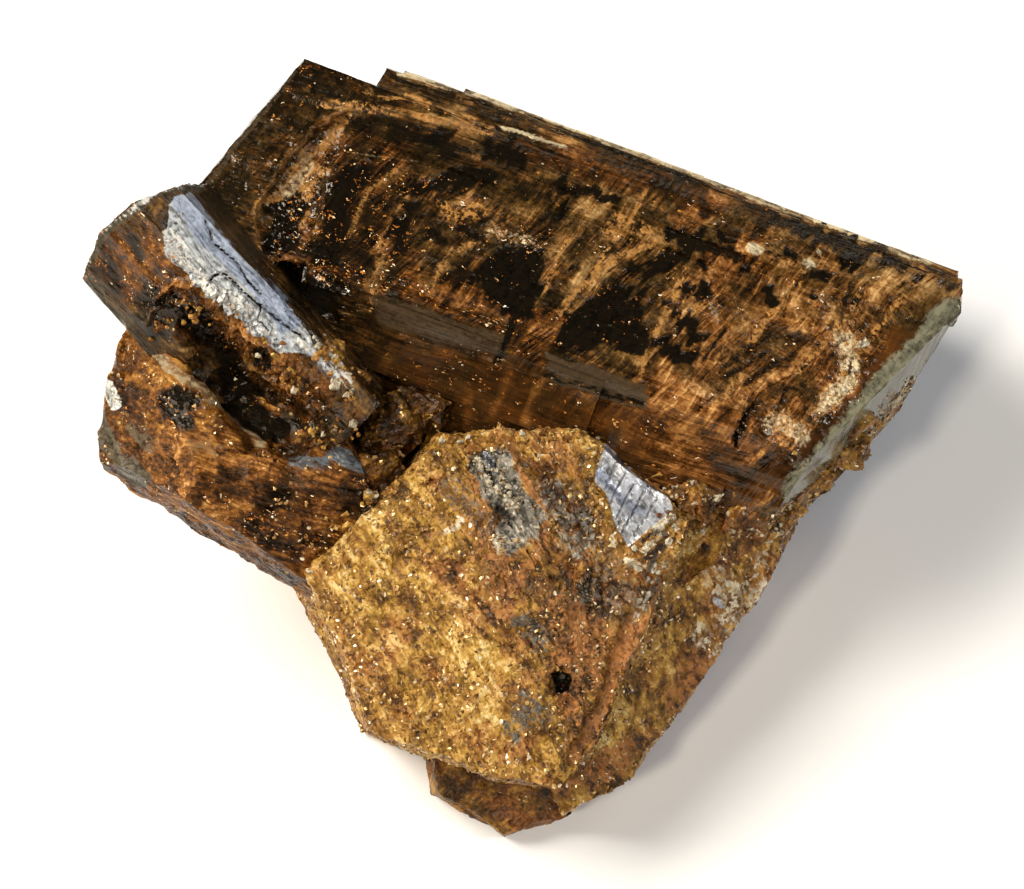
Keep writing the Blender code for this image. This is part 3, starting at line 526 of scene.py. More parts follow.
FRONT_MARKS = (
    ("gold", 0.9, 20, (450, 438), (520, 434), (600, 444)),
    ("gold", 0.55, 90, (340, 590), (400, 560), (420, 680), (450, 740)),
    ("black", 0.7, 4, (486, 470), (492, 484)),
    ("black", 0.6, 5, (502, 508), (512, 518)),
    ("black", 0.5, 4, (520, 500), (528, 530)),
    ("rough", 1.2, 16, (480, 460), (506, 496), (526, 530)),
    ("pale", 0.7, 4, (474, 452), (484, 476), (500, 496), (522, 500)),
    ("pale", 0.6, 3, (496, 540), (500, 552)),
    ("grey", 1.0, 8, (470, 455), (500, 447), (515, 468), (527, 495), (545, 515), (535, 540), (505, 556),
        (495, 540), (500, 515), (482, 495), (474, 476), (470, 455)),
    ("violet", 0.6, 12, (452, 490), (466, 506), (486, 526)),
    ("grey", 0.45, 22, (556, 500), (580, 540)),
    ("lift", -0.7, 16, (474, 458), (498, 452), (518, 480), (534, 516), (526, 540), (506, 526), (484, 490),
        (474, 458)),
    ("rust", 1.0, 4, (498, 448), (514, 464), (528, 484), (542, 506), (546, 524), (538, 548), (522, 580),
        (506, 604)),
    ("rust", 0.6, 24, (470, 500), (500, 560), (500, 600)),
    ("rust", 0.9, 5, (506, 574), (524, 580), (522, 596), (506, 590), (506, 574)),
    ("ochre", 0.8, 6, (508, 578), (520, 592)),
    # painted glints: bright pale specks for white glints
    ("pale", 1.5, 3, (446, 532), (456, 528), (460, 522)),
    # painted highlight: a silvery speck
    ("silver", 0.9, 5, (486, 456), (494, 470)),
    ("slate", 0.6, 12, (556, 498), (566, 506)),
    ("slate", 0.55, 11, (572, 526), (580, 538)),
    ("slate", 0.7, 12, (524, 622), (540, 642)),
    ("slate", 0.65, 13, (526, 706), (534, 718)),
    ("slate", 0.55, 11, (510, 724), (518, 734)),
    ("slate", 0.6, 10, (590, 590), (596, 610)),
    # painted reflection: the striated face's silvery and bluish grey sheen is laid as colour
    ("silver", 1.0, 3, (606, 443), (596, 470), (597, 484), (606, 492), (613, 516), (622, 536), (628, 546),
        (642, 534), (658, 522), (674, 508), (664, 490), (648, 478), (634, 468), (620, 456), (606, 443)),
    ("clean", 1.0, 5, (606, 443), (596, 470), (597, 484), (628, 546), (674, 508), (634, 468), (606, 443)),
    ("blue", 0.9, 5, (602, 474), (622, 500), (640, 510)),
    # striations up the silver face
    *(row for path in (((606, 490), (612, 472), (616, 462)), ((611, 506), (620, 486), (626, 474)),
                       ((616, 520), (627, 496), (634, 484)), ((622, 534), (636, 508), (645, 492)),
                       ((634, 536), (648, 514), (656, 500)))
      for row in on_one_path((("lift", -0.25, 1), ("black", 0.38, 1)), *path)),
    # painted shade: the upper right of the silvery face is darker, where it curves away from the light
    ("black", 0.6, 7, (620, 456), (640, 472), (664, 490)),
    ("pale", 1.0, 3, (634, 536), (650, 526), (668, 514)),
    ("pale", 1.2, 4, (654, 530), (672, 518)),
    ("pale", 1.2, 3, (644, 550), (660, 536)),
    ("pale", 1.2, 4, (628, 560), (640, 568)),
    ("pale", 0.9, 2, (612, 536), (614, 546)),
    ("black", 0.6, 2, (640, 542), (656, 532)),
    ("black", 0.5, 3, (646, 558), (664, 546)),
    ("lift", 0.5, 3, (650, 534), (674, 518)),
    ("lift", 0.5, 3, (628, 562), (642, 552)),
    ("slate", 0.7, 8, (668, 540), (654, 572), (640, 606)),
    ("pale", 0.6, 2, (680, 520), (664, 560), (648, 596), (634, 622)),
    ("pale", 0.5, 2, (660, 556), (646, 588), (634, 612)),
    ("rust", 0.9, 5, (760, 534), (716, 558), (672, 586), (636, 636), (620, 664)),
    ("tone", -0.14, 4, (590, 566), (588, 612)),
    ("tone", -0.14, 3, (600, 564), (599, 616)),
    ("tone", -0.14, 3, (610, 566), (610, 612)),
    ("lift", -0.3, 2, (594, 566), (592, 612)),
    ("lift", -0.3, 2, (604, 564), (604, 614)),
    ("violet", 0.55, 20, (604, 570), (622, 604)),
    ("rust", 0.4, 40, (600, 640), (590, 720)),
    # painted shade: a hole, sunk deep and coloured near black inside
    ("black", 1.0, 3, (553, 676), (560, 672), (568, 680), (566, 692), (556, 690), (553, 676)),
    ("lift", -2.6, 6, (551, 676), (560, 670), (570, 680), (567, 694), (555, 692), (551, 676)),
    ("lift", -0.7, 4, (564, 700), (570, 706)),
    ("rust", 0.8, 6, (562, 698), (572, 708)),
    ("lift", -0.8, 7, (642, 610), (618, 650), (610, 690), (592, 730), (572, 760)),
    *on_one_path((("clean", 0.6, 4), ("rust", 0.9, 4)), (640, 610), (616, 650), (610, 690), (590, 730),
        (570, 760)),
    # painted shade: darker along the right wall of the groove
    ("tone", -0.14, 6, (648, 612), (626, 652), (618, 692), (598, 732), (580, 760)),
    ("fibre", 0.9, 60, (330, 560), (380, 660), (440, 740)),
    ("fibre", 0.6, 50, (440, 600), (500, 680), (540, 740)),
    ("tone", -0.08, 50, (520, 480), (580, 560), (560, 640)),
    ("tone", -0.12, 14, (372, 470), (400, 520), (430, 560)),
    ("tone", -0.16, 7, (440, 560), (460, 592), (500, 618)),
    ("tone", -0.14, 8, (402, 620), (430, 662), (470, 700)),
    ("tone", -0.14, 6, (350, 640), (384, 690), (420, 728)),
    ("tone", 0.10, 10, (330, 560), (350, 600), (372, 650)),
    ("tone", 0.10, 8, (470, 640), (520, 668), (540, 700)),
    ("gold", 0.5, 40, (460, 640), (480, 700)),
    ("rust", 0.45, 30, (560, 620), (570, 660)),
)
FLANK_MARKS = (
    ("pale", 0.45, 18, (716, 576), (744, 600), (730, 622)),
    ("pale", 0.4, 12, (702, 636), (718, 654)),
    ("fibre", 0.9, 60, (740, 540), (700, 640), (640, 730)),
    ("tone", -0.12, 8, (700, 560), (676, 620), (640, 690)),
    ("tone", -0.12, 8, (752, 560), (728, 610), (690, 680)),
    ("pale", 0.5, 8, (760, 560), (764, 590)),
    # painted highlight: a small silvery speck
    ("silver", 0.8, 4, (716, 600), (722, 606)),
    ("gold", 0.5, 30, (690, 560), (640, 680), (600, 740)),
    ("rust", 0.6, 22, (740, 620), (680, 700)),
    ("rust", 0.7, 16, (560, 780), (620, 760)),
)
NO_MARKS = ()


def specimen_to_rest():
    """Takes millimetres in the specimen's frame to metres on the surface that it rests on."""
    shift = Matrix.Translation((-CENTRE_X, -CENTRE_Y, REST_HEIGHT))
    return Matrix.Scale(MM, 4) @ shift @ Matrix.Rotation(LEAN, 4, "X")


def crystal_axes(long_axis):
    """The long axis, its upper side and its outward side, as three unit vectors."""
    along = Vector(long_axis).normalized()
    out = Vector((0.0, 0.0, 1.0))
    out = (out - along * out.dot(along)).normalized()
    return along, out.cross(along), out


def face_direction(axes, turn, tilt):
    along, side, out = axes
    turn, tilt = math.radians(turn), math.radians(tilt)
    around = side * math.sin(turn) + out * math.cos(turn)
    return along * math.cos(tilt) + around * math.sin(tilt)


def crystal_planes(centre, long_axis, faces):
    centre = Vector(centre)
    axes = crystal_axes(long_axis)
    planes = []
    for turn, tilt, distance in faces:
        direction = face_direction(axes, turn, tilt)
        planes.append((centre + direction * distance, direction))
    return planes


def layer_planes(turn, height, low, high, start, stop):
    """A slab that stands on one prism face of the main crystal and sinks into it."""
    centre = Vector(MAIN_CENTRE)
    axes = crystal_axes(MAIN_AXIS)
    along = axes[0]
    outward = face_direction(axes, turn, 90.0)
    across = outward.cross(along)
    distance = next(face[2] for face in MAIN_PRISM if face[0] == turn)
    slope = outward * 0.35
    lip = 0.1 * height
    ends = crystal_planes(MAIN_CENTRE, MAIN_AXIS, [(t, e, d + lip) for t, e, d in MAIN_ENDS])
    top = centre + outward * (distance + height)
    return ends + [
        (top, outward),
        (centre + outward * (distance - 3.0), -outward),
        (top + across * high, across + slope),
        (top + across * low, slope - across),
        (centre + along * start, slope * 0.5 - along),
        (centre + along * stop, along + slope * 0.5),
    ]


def crumb_planes(middle, reach, seed, sides=14):
    """An angular crumb, cut by directions drawn from a seeded generator."""
    dice = random.Random(seed)
    planes = []
    for index in range(sides):
        height = 1.0 - 2.0 * (index + 0.5) / sides
        ring = math.sqrt(1.0 - height * height)
        angle = index * 2.4 + dice.uniform(-0.3, 0.3)
        direction = Vector((ring * math.cos(angle), ring * math.sin(angle), height))
        least = 0.75 if sides > 10 else 0.4
        planes.append((Vector(middle) + direction * reach * dice.uniform(least, 1.0), direction))
    return planes


def convex(planes):
    """A convex body: a block, cut along each plane and closed again."""
    bm = bmesh.new()
    bmesh.ops.create_cube(bm, size=BLOCK)
    for point, direction in planes:
        everything = bm.verts[:] + bm.edges[:] + bm.faces[:]
        made = bmesh.ops.bisect_plane(
            bm, geom=everything, plane_co=Vector(point),
            plane_no=Vector(direction).normalized(), clear_outer=True, dist=1e-6,
        )
        rim = [part for part in made["geom_cut"] if isinstance(part, bmesh.types.BMEdge)]
        if rim:
            bmesh.ops.holes_fill(bm, edges=rim, sides=0)
    bmesh.ops.remove_doubles(bm, verts=bm.verts, dist=1e-4)
    bmesh.ops.recalc_face_normals(bm, faces=bm.faces)
    return bm


def hashed(cells, seed):
    """A random whole number for each cell of a lattice, the same every run."""
    code = cells[:, 0] * 374761393 + cells[:, 1] * 668265263 + cells[:, 2] * 1440662683 + seed * 1274126177
    code = ((code & 0xFFFFFFFF) ^ (code >> 13 & 0x7FFFF)) * 1103515245 & 0xFFFFFFFF
    code = (code ^ code >> 16) * 668265263 & 0xFFFFFFFF
    return code ^ code >> 15


def three_numbers(code):
    return np.stack([(code >> shift & 1023) / 511.5 - 1.0 for shift in (0, 10, 20)], axis=1)


def grain(points, size, seed):
    """Smooth noise from about -1 to 1, with grains of one size, or of one size along each axis."""
    scaled = points / np.asarray(size, float) + seed * 7.31
    cell = np.floor(scaled).astype(np.int64)
    inside = scaled - cell
    ease = inside ** 3 * (inside * (inside * 6.0 - 15.0) + 10.0)
    total = np.zeros(len(points))
    for corner in itertools.product((0, 1), repeat=3):
        part = ((inside - corner) * three_numbers(hashed(cell + corner, seed))).sum(axis=1)
        for axis in range(3):
            part *= ease[:, axis] if corner[axis] else 1.0 - ease[:, axis]
        total += part
    return total * 1.6


def grains(points, size, seed, levels=3):
    """Noise in several sizes, each half as wide and a little over half as strong as the last."""
    size = np.asarray(size, float)
    return sum(grain(points, size / 2 ** level, seed + level) * 0.55 ** level for level in range(levels))


def chips(points, size, seed):
    """Broken chips: how high each point stands on its own tilted chip, and the chip's own number."""
    scaled = points / np.asarray(size, float)
    cell = np.floor(scaled).astype(np.int64)
    nearest = np.full(len(points), np.inf)
    height = np.zeros(len(points))
    own = np.zeros(len(points))
    for step in itertools.product((-1, 0, 1), repeat=3):
        at = cell + step
        code = hashed(at, seed)
        away = scaled - (at + 0.5 + 0.5 * three_numbers(code))
        distance = (away ** 2).sum(axis=1)
        level = (three_numbers(hashed(at, seed + 5)) * away).sum(axis=1) + (code % 101) / 50.0 - 1.0
        near = distance < nearest
        nearest = np.where(near, distance, nearest)
        height = np.where(near, level, height)
        own = np.where(near, (code % 997) / 996.0, own)
    return height * 0.6, own


def unit(value):
    """The value, kept between 0 and 1."""
    return np.clip(value, 0.0, 1.0)


def smooth(value, low, high):
    """Rises softly from 0 at the low value to 1 at the high one."""
    part = unit((value - low) / (high - low))
    return part * part * (3.0 - 2.0 * part)


def distance_to(seen, path):
    """How far each place is from a path; inside a closed one it is below zero."""
    nearest = np.full(len(seen), np.inf)
    inside = np.zeros(len(seen), bool)
    for start, stop in zip(path[:-1], path[1:]):
        start, run = np.array(start, float), np.array(stop, float) - start
        share = unit((seen - start) @ run / max(run @ run, 1e-9))
        nearest = np.minimum(nearest, np.linalg.norm(seen - start - share[:, None] * run, axis=1))
        passes = (start[1] > seen[:, 1]) != (stop[1] > seen[:, 1])
        level = run[1] if abs(run[1]) > 1e-9 else 1e-9
        inside ^= passes & (seen[:, 0] < run[0] * (seen[:, 1] - start[1]) / level + start[0])
    return np.where(inside, -nearest, nearest) if path[0] == path[-1] else nearest


def seen_at(points):
    """Where each point is seen on the show side, across and down in tenths of a millimetre."""
    zoom = 10.0 * EYE_HEIGHT / (EYE_HEIGHT - points[:, 2])
    return np.stack([VIEW_MIDDLE[0] + (points[:, 0] - AIM[0]) * zoom,
                     VIEW_MIDDLE[1] - (points[:, 1] - AIM[1]) * zoom], axis=1)


class Skin:
    """One closed skin: its points in millimetres, its triangles, and what shows on it."""

    def __init__(self, planes, spacing):
        bm = convex(list(planes))
        bmesh.ops.triangulate(bm, faces=bm.faces)
        for _ in range(9):
            long_edges = [edge for edge in bm.edges if edge.calc_length() > spacing * 1.35]
            if not long_edges:
                break
            bmesh.ops.subdivide_edges(bm, edges=long_edges, cuts=1, use_single_edge=True)
            bmesh.ops.triangulate(bm, faces=bm.faces)
            level = [edge for edge in bm.edges if edge.calc_face_angle() < 0.001]
            bmesh.ops.beautify_fill(bm, faces=bm.faces, edges=level)
        self.points = np.array([vert.co[:] for vert in bm.verts])
        self.faces = np.array([[vert.index for vert in face.verts] for face in bm.faces])
        bm.free()
        self.marks = {}

    def normals(self):
        a, b, c = (self.points[self.faces[:, corner]] for corner in range(3))
        flat = np.cross(b - a, c - a)
        total = np.zeros_like(self.points)
        for corner in range(3):
            np.add.at(total, self.faces[:, corner], flat)
        return total / np.maximum(np.linalg.norm(total, axis=1), 1e-12)[:, None]

    def refine(self, spacing_of):
        """Halves each edge that is longer than the spacing asked for where it lies."""
        for _ in range(8):
            points, faces, normals = self.points, self.faces, self.normals()
            pairs = np.sort(faces[:, [0, 1, 1, 2, 2, 0]].reshape(-1, 2), axis=1)
            _, first, which = np.unique(pairs[:, 0] * len(points) + pairs[:, 1],
                                        return_index=True, return_inverse=True)
            a, b = pairs[first].T
            middle = (points[a] + points[b]) / 2.0
            wanted = spacing_of(middle, (normals[a] + normals[b]) / 2.0)
            split = np.linalg.norm(points[a] - points[b], axis=1) > 1.35 * wanted
            if not split.any():
                break
            number = np.full(len(first), -1)
            number[split] = len(points) + np.arange(split.sum())
            halves = number[which.ravel()].reshape(-1, 3)
            count = (halves >= 0).sum(axis=1)
            made = [faces[count == 0]]
            one = count == 1
            turn = (halves[one].argmax(axis=1)[:, None] + np.arange(3)) % 3
            (p, q, r), m = np.take_along_axis(faces[one], turn, 1).T, halves[one].max(axis=1)
            made += [np.stack([p, m, r], 1), np.stack([m, q, r], 1)]
            two = count == 2
            turn = (halves[two].argmin(axis=1)[:, None] + 1 + np.arange(3)) % 3
            p, q, r = np.take_along_axis(faces[two], turn, 1).T
            m, n, _ = np.take_along_axis(halves[two], turn, 1).T
            self.points = np.vstack([points, middle[split]])
            made.append(np.stack([m, q, n], 1))
            short = (np.linalg.norm(self.points[p] - self.points[n], axis=1)
                     < np.linalg.norm(self.points[m] - self.points[r], axis=1))[:, None]
            made.append(np.where(short, np.stack([p, m, n], 1), np.stack([p, m, r], 1)))
            made.append(np.where(short, np.stack([p, n, r], 1), np.stack([m, n, r], 1)))
            three = count == 3
            (p, q, r), (m, n, o) = faces[three].T, halves[three].T
            made += [np.stack([p, m, o], 1), np.stack([m, q, n], 1), np.stack([o, n, r], 1),
                     np.stack([m, n, o], 1)]
            self.faces = np.vstack(made)

    def push(self, heights):
        """Moves the points out along the skin's own normals, by millimetres."""
        self.points = self.points + self.normals() * heights[:, None]

    def warp(self, lift, width):
        """The smooth lumps that a rough body has in the solid."""
        self.points = self.points + lift * np.array([noise.noise_vector(p / width) for p in
                                                     map(Vector, self.points)])

    def look(self, table, wander=7.0, fray=0.0):
        """Works out what shows at each point. Borders wander, and fray along the cracks across a crystal."""
        straight = seen_at(self.points)
        crack = np.array((0.66, -0.75))
        beside, beyond = straight @ (-crack[1], crack[0]) / 10.0, straight @ crack / 10.0
        torn = grain(np.stack([beside, beyond, beside * 0.0], axis=1), (0.55, 5.0, 1.0), 31)
        torn = (torn + 0.8 * grain(np.stack([beside, beyond, beside * 0.0], axis=1), (1.6, 9.0, 1.0), 32))
        sway = np.stack([grain(self.points, 2.6, 11 + axis) + 0.45 * grain(self.points, 0.9, 21 + axis)
                         for axis in range(2)], axis=1) * wander
        facing = smooth(self.normals()[:, 2], -0.02, 0.12)
        found = collections.defaultdict(lambda: np.zeros(len(straight)))
        for mark, strength, width, *path in table:
            moved = straight + sway * min(1.0, 0.08 * width)
            if fray and mark in ("ochre", "black", "warm"):
                moved = moved + (torn * fray * min(1.0, 0.12 * width))[:, None] * crack
            away = distance_to(moved, path)
            if path[0] == path[-1]:
                shown = smooth(-away, -width * 0.6, width * 0.6)
            else:
                shown = 1.0 - smooth(away, width * 0.45, width * 1.5)
            found[mark] = found[mark] + strength * shown * facing
        return found

    def hollow_out(self, table, share):
        """Sinks the deep hollows, before the skin gets its finest faces."""
        deep = [row for row in table if row[0] == "lift" and row[1] < DEEP]
        if deep:
            self.push(self.look(deep, 5.0)["lift"] * share)


def softened(table):
    """The table for a skin that was hollowed out: its deep hollows get only a little deeper."""
    return [row if row[0] != "lift" or row[1] > DEEP else (row[0], row[1] * 0.15, *row[2:]) for row in table]


noise.seed_set(LUMP_SEED)
BODIES = {
    "main": crystal_planes(MAIN_CENTRE, MAIN_AXIS, MAIN_PRISM + MAIN_ENDS),
    "left": crystal_planes(LEFT_CENTRE, LEFT_AXIS, LEFT_PRISM) + list(LEFT_ENDS),
    "lower left": list(LOWER_LEFT),
    "front": list(FRONT),
    "flank": list(FLANK),
    "nub": list(NUB),
    "beneath": list(BENEATH),
}
SLABS = [layer_planes(*layer) for layer in LAYERS]
# Two thin leaves stand a little above the upper edge, and show as its pale rim
LEAVES = [layer_planes(88.0, 2.45, -7.8, 9.0, -28.4, 12.0), layer_planes(88.0, 2.95, -6.2, 8.0, -22.0, 12.0)]


def depth_in(points, planes):
    """How deep each point lies in a convex body; below zero outside it."""
    depth = np.full(len(points), np.inf)
    for point, direction in planes:
        direction = np.array(Vector(direction).normalized())
        depth = np.minimum(depth, -(points - np.array(point)) @ direction)
    return depth


def spacing_for(own, fine, side, hidden=3.0, slabs=False):
    """Small faces where the skin shows, larger ones on the sides and back, and few where it is buried."""
    others = [planes for name, planes in BODIES.items() if name != own]

    def spacing(points, normals):
        buried = np.full(len(points), -np.inf)
        for planes in others:
            buried = np.maximum(buried, depth_in(points, planes) - 1.6)
        if slabs:
            for planes in SLABS:
                buried = np.maximum(buried, depth_in(points, planes) - 0.35)
        buried = np.maximum(buried, depth_in(points, [(FLOOR[0], -Vector(FLOOR[1]))]) - 0.2)
        wanted = np.where(normals[:, 2] > 0.12, fine, side)
        opened = (distance_to(seen_at(points), CAVITY) < 14.0) & (points[:, 2] > -6.0)
        buried = np.where(opened, -1.0, buried)
        return np.where(buried > 0.0, hidden, wanted)

    return spacing


def nearest_prism(points, centre, axes, prism):
    """Crystal measures of each point: along the axis, across its own prism face, and that face's number."""
    away = points - np.array(centre)
    best = np.full(len(points), -np.inf)
    across = np.zeros(len(points))
    number = np.zeros(len(points))
    for index, (turn, tilt, distance) in enumerate(prism):
        outward = face_direction(axes, turn, 90.0)
        height = away @ np.array(outward) - distance
        closer = height > best
        best = np.where(closer, height, best)
        across = np.where(closer, away @ np.array(outward.cross(axes[0])), across)
        number = np.where(closer, float(index), number)
    return away @ np.array(axes[0]), across, number


def settle(skin, marks, **extra):
    """Keeps the marks that the materials read."""
    count = len(skin.points)
    for name in MARKS:
        value = extra.get(name, marks.get(name, 0.0))
        skin.marks[name] = unit(np.broadcast_to(value, (count,)))


MARKS = ("stain", "warm", "pale", "silver", "blue", "violet", "grey", "rust", "slate", "black", "mica",
         "glint", "shade", "cross", "clean", "crumbly")


def thin_lines(points, size, seed):
    """Fine wandering lines, as where two crystals or two cracks meet."""
    return smooth(1.0 - 5.0 * np.abs(grain(points, size, seed)), 0.0, 1.0)


def glass_crystal(skin, centre, long_axis, prism, table, seed, ground=0.26, cracked=0.0, glints=0.2,
                  fray=0.0):
    """Growth lines, ledges, breaks and pits of a long crystal, and the marks on it."""
    axes = crystal_axes(long_axis)
    marks = skin.look(table, fray=fray)
    points = skin.points
    along, across, number = nearest_prism(points, centre, axes, prism)
    cross, crumbly, black = (unit(marks[mark]) for mark in ("cross", "crumbly", "black"))
    # The sides that nothing broke are smooth glass with growth lines
    unbroken = 1.0 - smooth(skin.normals()[:, 2], -0.05, 0.15)
    clean = unit(marks["clean"] + 0.6 * unbroken)
    rough = np.clip(marks["rough"] + cracked, 0.0, 2.2)
    sheet = np.stack([across, along, number * 9.0], axis=1)
    # Cracks run a little askew across the crystal, and bend
    askew = np.stack([across, along - 0.40 * across + 0.9 * grain(points, 7.0, seed + 40), number * 9.0], 1)

    # Stain: 0 is clear dark glass, 1 the palest ochre. It follows the growth lines or the cracks.
    strands = grains(sheet, (1.3, 9.0, 1.0), seed + 1, 4)
    bars = grains(askew, (8.0, 1.3, 1.0), seed + 2, 4)
    blots = grains(points, 3.6, seed + 3)
    long_lines = thin_lines(sheet, (0.9, 12.0, 1.0), seed + 14)
    cross_lines = np.maximum(thin_lines(askew, (9.0, 1.3, 1.0), seed + 15),
                             0.8 * thin_lines(askew, (4.5, 0.7, 1.0), seed + 16))
    flow = (0.18 * (strands * (1.0 - cross) + bars * cross) + 0.15 * blots
            + 0.09 * grain(points, 0.8, seed + 18))
    lines = 0.12 * long_lines * (1.0 - cross) + 0.12 * cross_lines * cross
    chip, own = chips(points, 1.15, seed + 11)
    small, tiny = chips(points, 0.5, seed + 12)
    flow = flow * (1.0 - crumbly) + crumbly * (0.20 * (own - 0.5) + 0.14 * grain(points, 1.4, seed + 17))
    stain = (ground + (flow + lines * (1.0 - crumbly) + 0.02 * cross) * (1.0 - 0.75 * clean)
             + 0.30 * np.clip(marks["ochre"], 0.0, 1.2) + 0.40 * marks["pale"] + marks["tone"]
             - 0.28 * black - 0.03 * unbroken)

    growth = (0.030 * grain(sheet, (0.42, 16.0, 1.0), seed + 6)
              + 0.050 * grain(sheet, (1.0, 24.0, 1.0), seed + 7)
              + 0.080 * grain(sheet, (2.7, 40.0, 1.0), seed + 8))
    steps = grains(sheet, (3.0, 18.0, 1.0), seed + 9) * 3.2
    ledges = (np.floor(steps) + smooth(steps - np.floor(steps), 0.80, 1.0)) * 0.075
    breaks = 0.05 * cross_lines * cross - 0.07 * smooth(-bars, 0.2, 0.7) * (0.2 + 0.8 * cross)
    crust = smooth(stain, 0.42, 0.75) * (0.06 + 0.05 * small)
    calm = (1.0 - clean) * (1.0 - 0.8 * black)
    relief = (growth * (1.0 - 0.6 * black)
              + ledges * (1.0 - 0.8 * cross) * (1.0 - 0.6 * np.maximum(clean, black))
              + (breaks + 0.03 * small) * calm + crust - 0.06 * black + rough * (0.24 * chip + 0.12 * small)
              + marks["lift"])
    # Painted shade: the low spots of the relief get a darker colour through the shade mark, as if shade fell
    # in them
    painted_hollow_shade = smooth(growth * 2.0 + crust + breaks + 0.22 * chip * rough, -0.25, 0.25)
    glint = unit(marks["glint"] + glints * (1.0 - clean) * smooth(blots, -0.5, 0.5))
    settle(skin, marks, stain=stain, glint=glint, cross=cross, clean=clean,
           shade=0.35 * own + 0.35 * tiny + 0.3 * painted_hollow_shade)
    return relief


def crusted_body(skin, table, seed, run, size, height, ground=0.55, glints=0.3, facets=0.0, lumps=0.0):
    """The relief of a rough body: chips of crust, drawn out along one direction where it is fibrous."""
    marks = skin.look(table)
    points = skin.points
    turned = points @ np.array(crystal_axes(run)).T
    fibre, clean = unit(marks["fibre"]), unit(marks["clean"])
    chip, own = chips(turned, (size * 2.0, size, size), seed + 1)
    small, tiny = chips(points, size * 0.45, seed + 2)
    fibres = grains(turned, (5.0, 0.5, 0.5), seed + 3, 2)
    threads = thin_lines(turned, (4.0, 0.5, 0.5), seed + 6)
    blots = grains(points, 3.0, seed + 4)
    relief = height * ((1.0 - 0.6 * fibre) * chip + 0.45 * small + 0.7 * fibre * fibres
                       + 0.5 * grain(points, 3.0, seed + 5))
    facet, face = chips(points + 0.6 * grain(points, 2.0, seed + 10)[:, None], 3.4, seed + 11)
    relief = relief + marks["rough"] * (0.22 * chip + 0.22 * small)
    relief = (relief * (1.0 - 0.9 * clean) + facets * facet * (1.0 - 0.6 * fibre)
              + lumps * grains(points, 2.8, seed + 12, 2) + marks["lift"] - 0.12 * marks["slate"])
    # Painted shade: the low spots of the relief get a darker colour through the shade mark, as if shade fell
    # in them
    painted_hollow_shade = smooth(relief - marks["lift"], -1.2 * height, 1.2 * height)
    under = 1.0 - smooth(skin.normals()[:, 2], -0.02, 0.30)
    fibre = np.maximum(fibre, 0.7 * under)
    stain = (ground + 0.10 * under + (0.20 * blots + 0.12 * grain(points, 1.3, seed + 8)) * (1.0 - clean)
             + 0.8 * facets * (face - 0.5) + 0.16 * threads * fibre
             + 0.22 * marks["gold"] + 0.30 * marks["ochre"] + 0.35 * marks["pale"] + marks["tone"]
             - 0.5 * unit(marks["black"]))
    glint = unit(marks["glint"] + glints * (1.0 - clean) * smooth(blots, -0.6, 0.4))
    warm = marks["warm"] + 0.5 * under + 0.8 * smooth(grains(points, 4.5, seed + 9), -0.1, 0.8)
    settle(skin, marks, stain=stain, glint=glint, warm=warm, clean=clean,
           shade=0.3 * own + 0.3 * tiny + 0.4 * painted_hollow_shade)
    return relief


def add_object(name, data):
    made = bpy.data.objects.new(name, data)
    bpy.context.scene.collection.objects.link(made)
    return made


def finish_piece(name, skins, material, flat):
    """Puts skins together into one piece that stands on the surface, in metres."""
    place = np.array(specimen_to_rest())
    points, faces, base = [], [], 0
    for skin in skins:
        world = skin.points @ place[:3, :3].T + place[:3, 3]
        world[:, 2] = np.maximum(world[:, 2], 0.0)
        points.append(world)
        faces.append(skin.faces + base)
        base += len(world)
    points, faces = np.vstack(points), np.vstack(faces)
    mesh = bpy.data.meshes.new(name)
    mesh.vertices.add(len(points))
    mesh.vertices.foreach_set("co", points.ravel())
    mesh.loops.add(faces.size)
    mesh.loops.foreach_set("vertex_index", faces.ravel())
    mesh.polygons.add(len(faces))
    mesh.polygons.foreach_set("loop_start", np.arange(0, faces.size, 3))
    mesh.polygons.foreach_set("use_smooth", np.ones(len(faces), bool))
    for mark in MARKS:
        layer = mesh.attributes.new(mark, "FLOAT", "POINT")
        layer.data.foreach_set("value", np.concatenate([skin.marks[mark] for skin in skins]))
    mesh.update(calc_edges=True)
    mesh.validate()
    mesh.set_sharp_from_angle(angle=math.radians(18.0 if flat else 40.0))
    mesh.materials.append(material)
    piece = add_object(name, mesh)
    declare(piece)
    return piece


def declare(piece):
    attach(piece, "root")
    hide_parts("crystal_cluster")


def fill(tree, made, inputs):
    """Gives a node its inputs: each is a value, an output, or a node whose first output is meant."""
    for key, value in inputs.items():
        if isinstance(value, bpy.types.Node):
            value = value.outputs[0]
        if isinstance(value, bpy.types.NodeSocket):
            tree.links.new(value, made.inputs[key])
        else:
            made.inputs[key].default_value = value
    return made


def node(tree, kind, inputs=None, **settings):
    """Adds a node with its settings and its inputs."""
    made = tree.nodes.new(kind)
    for name, value in settings.items():
        setattr(made, name, value)
    return fill(tree, made, inputs or {})


def linear(colour):
    """An sRGB hex colour as the linear numbers that a shader takes."""
    parts = [int(colour[at:at + 2], 16) / 255.0 for at in (0, 2, 4)]
    return tuple(p / 12.92 if p <= 0.04045 else ((p + 0.055) / 1.055) ** 2.4 for p in parts) + (1.0,)


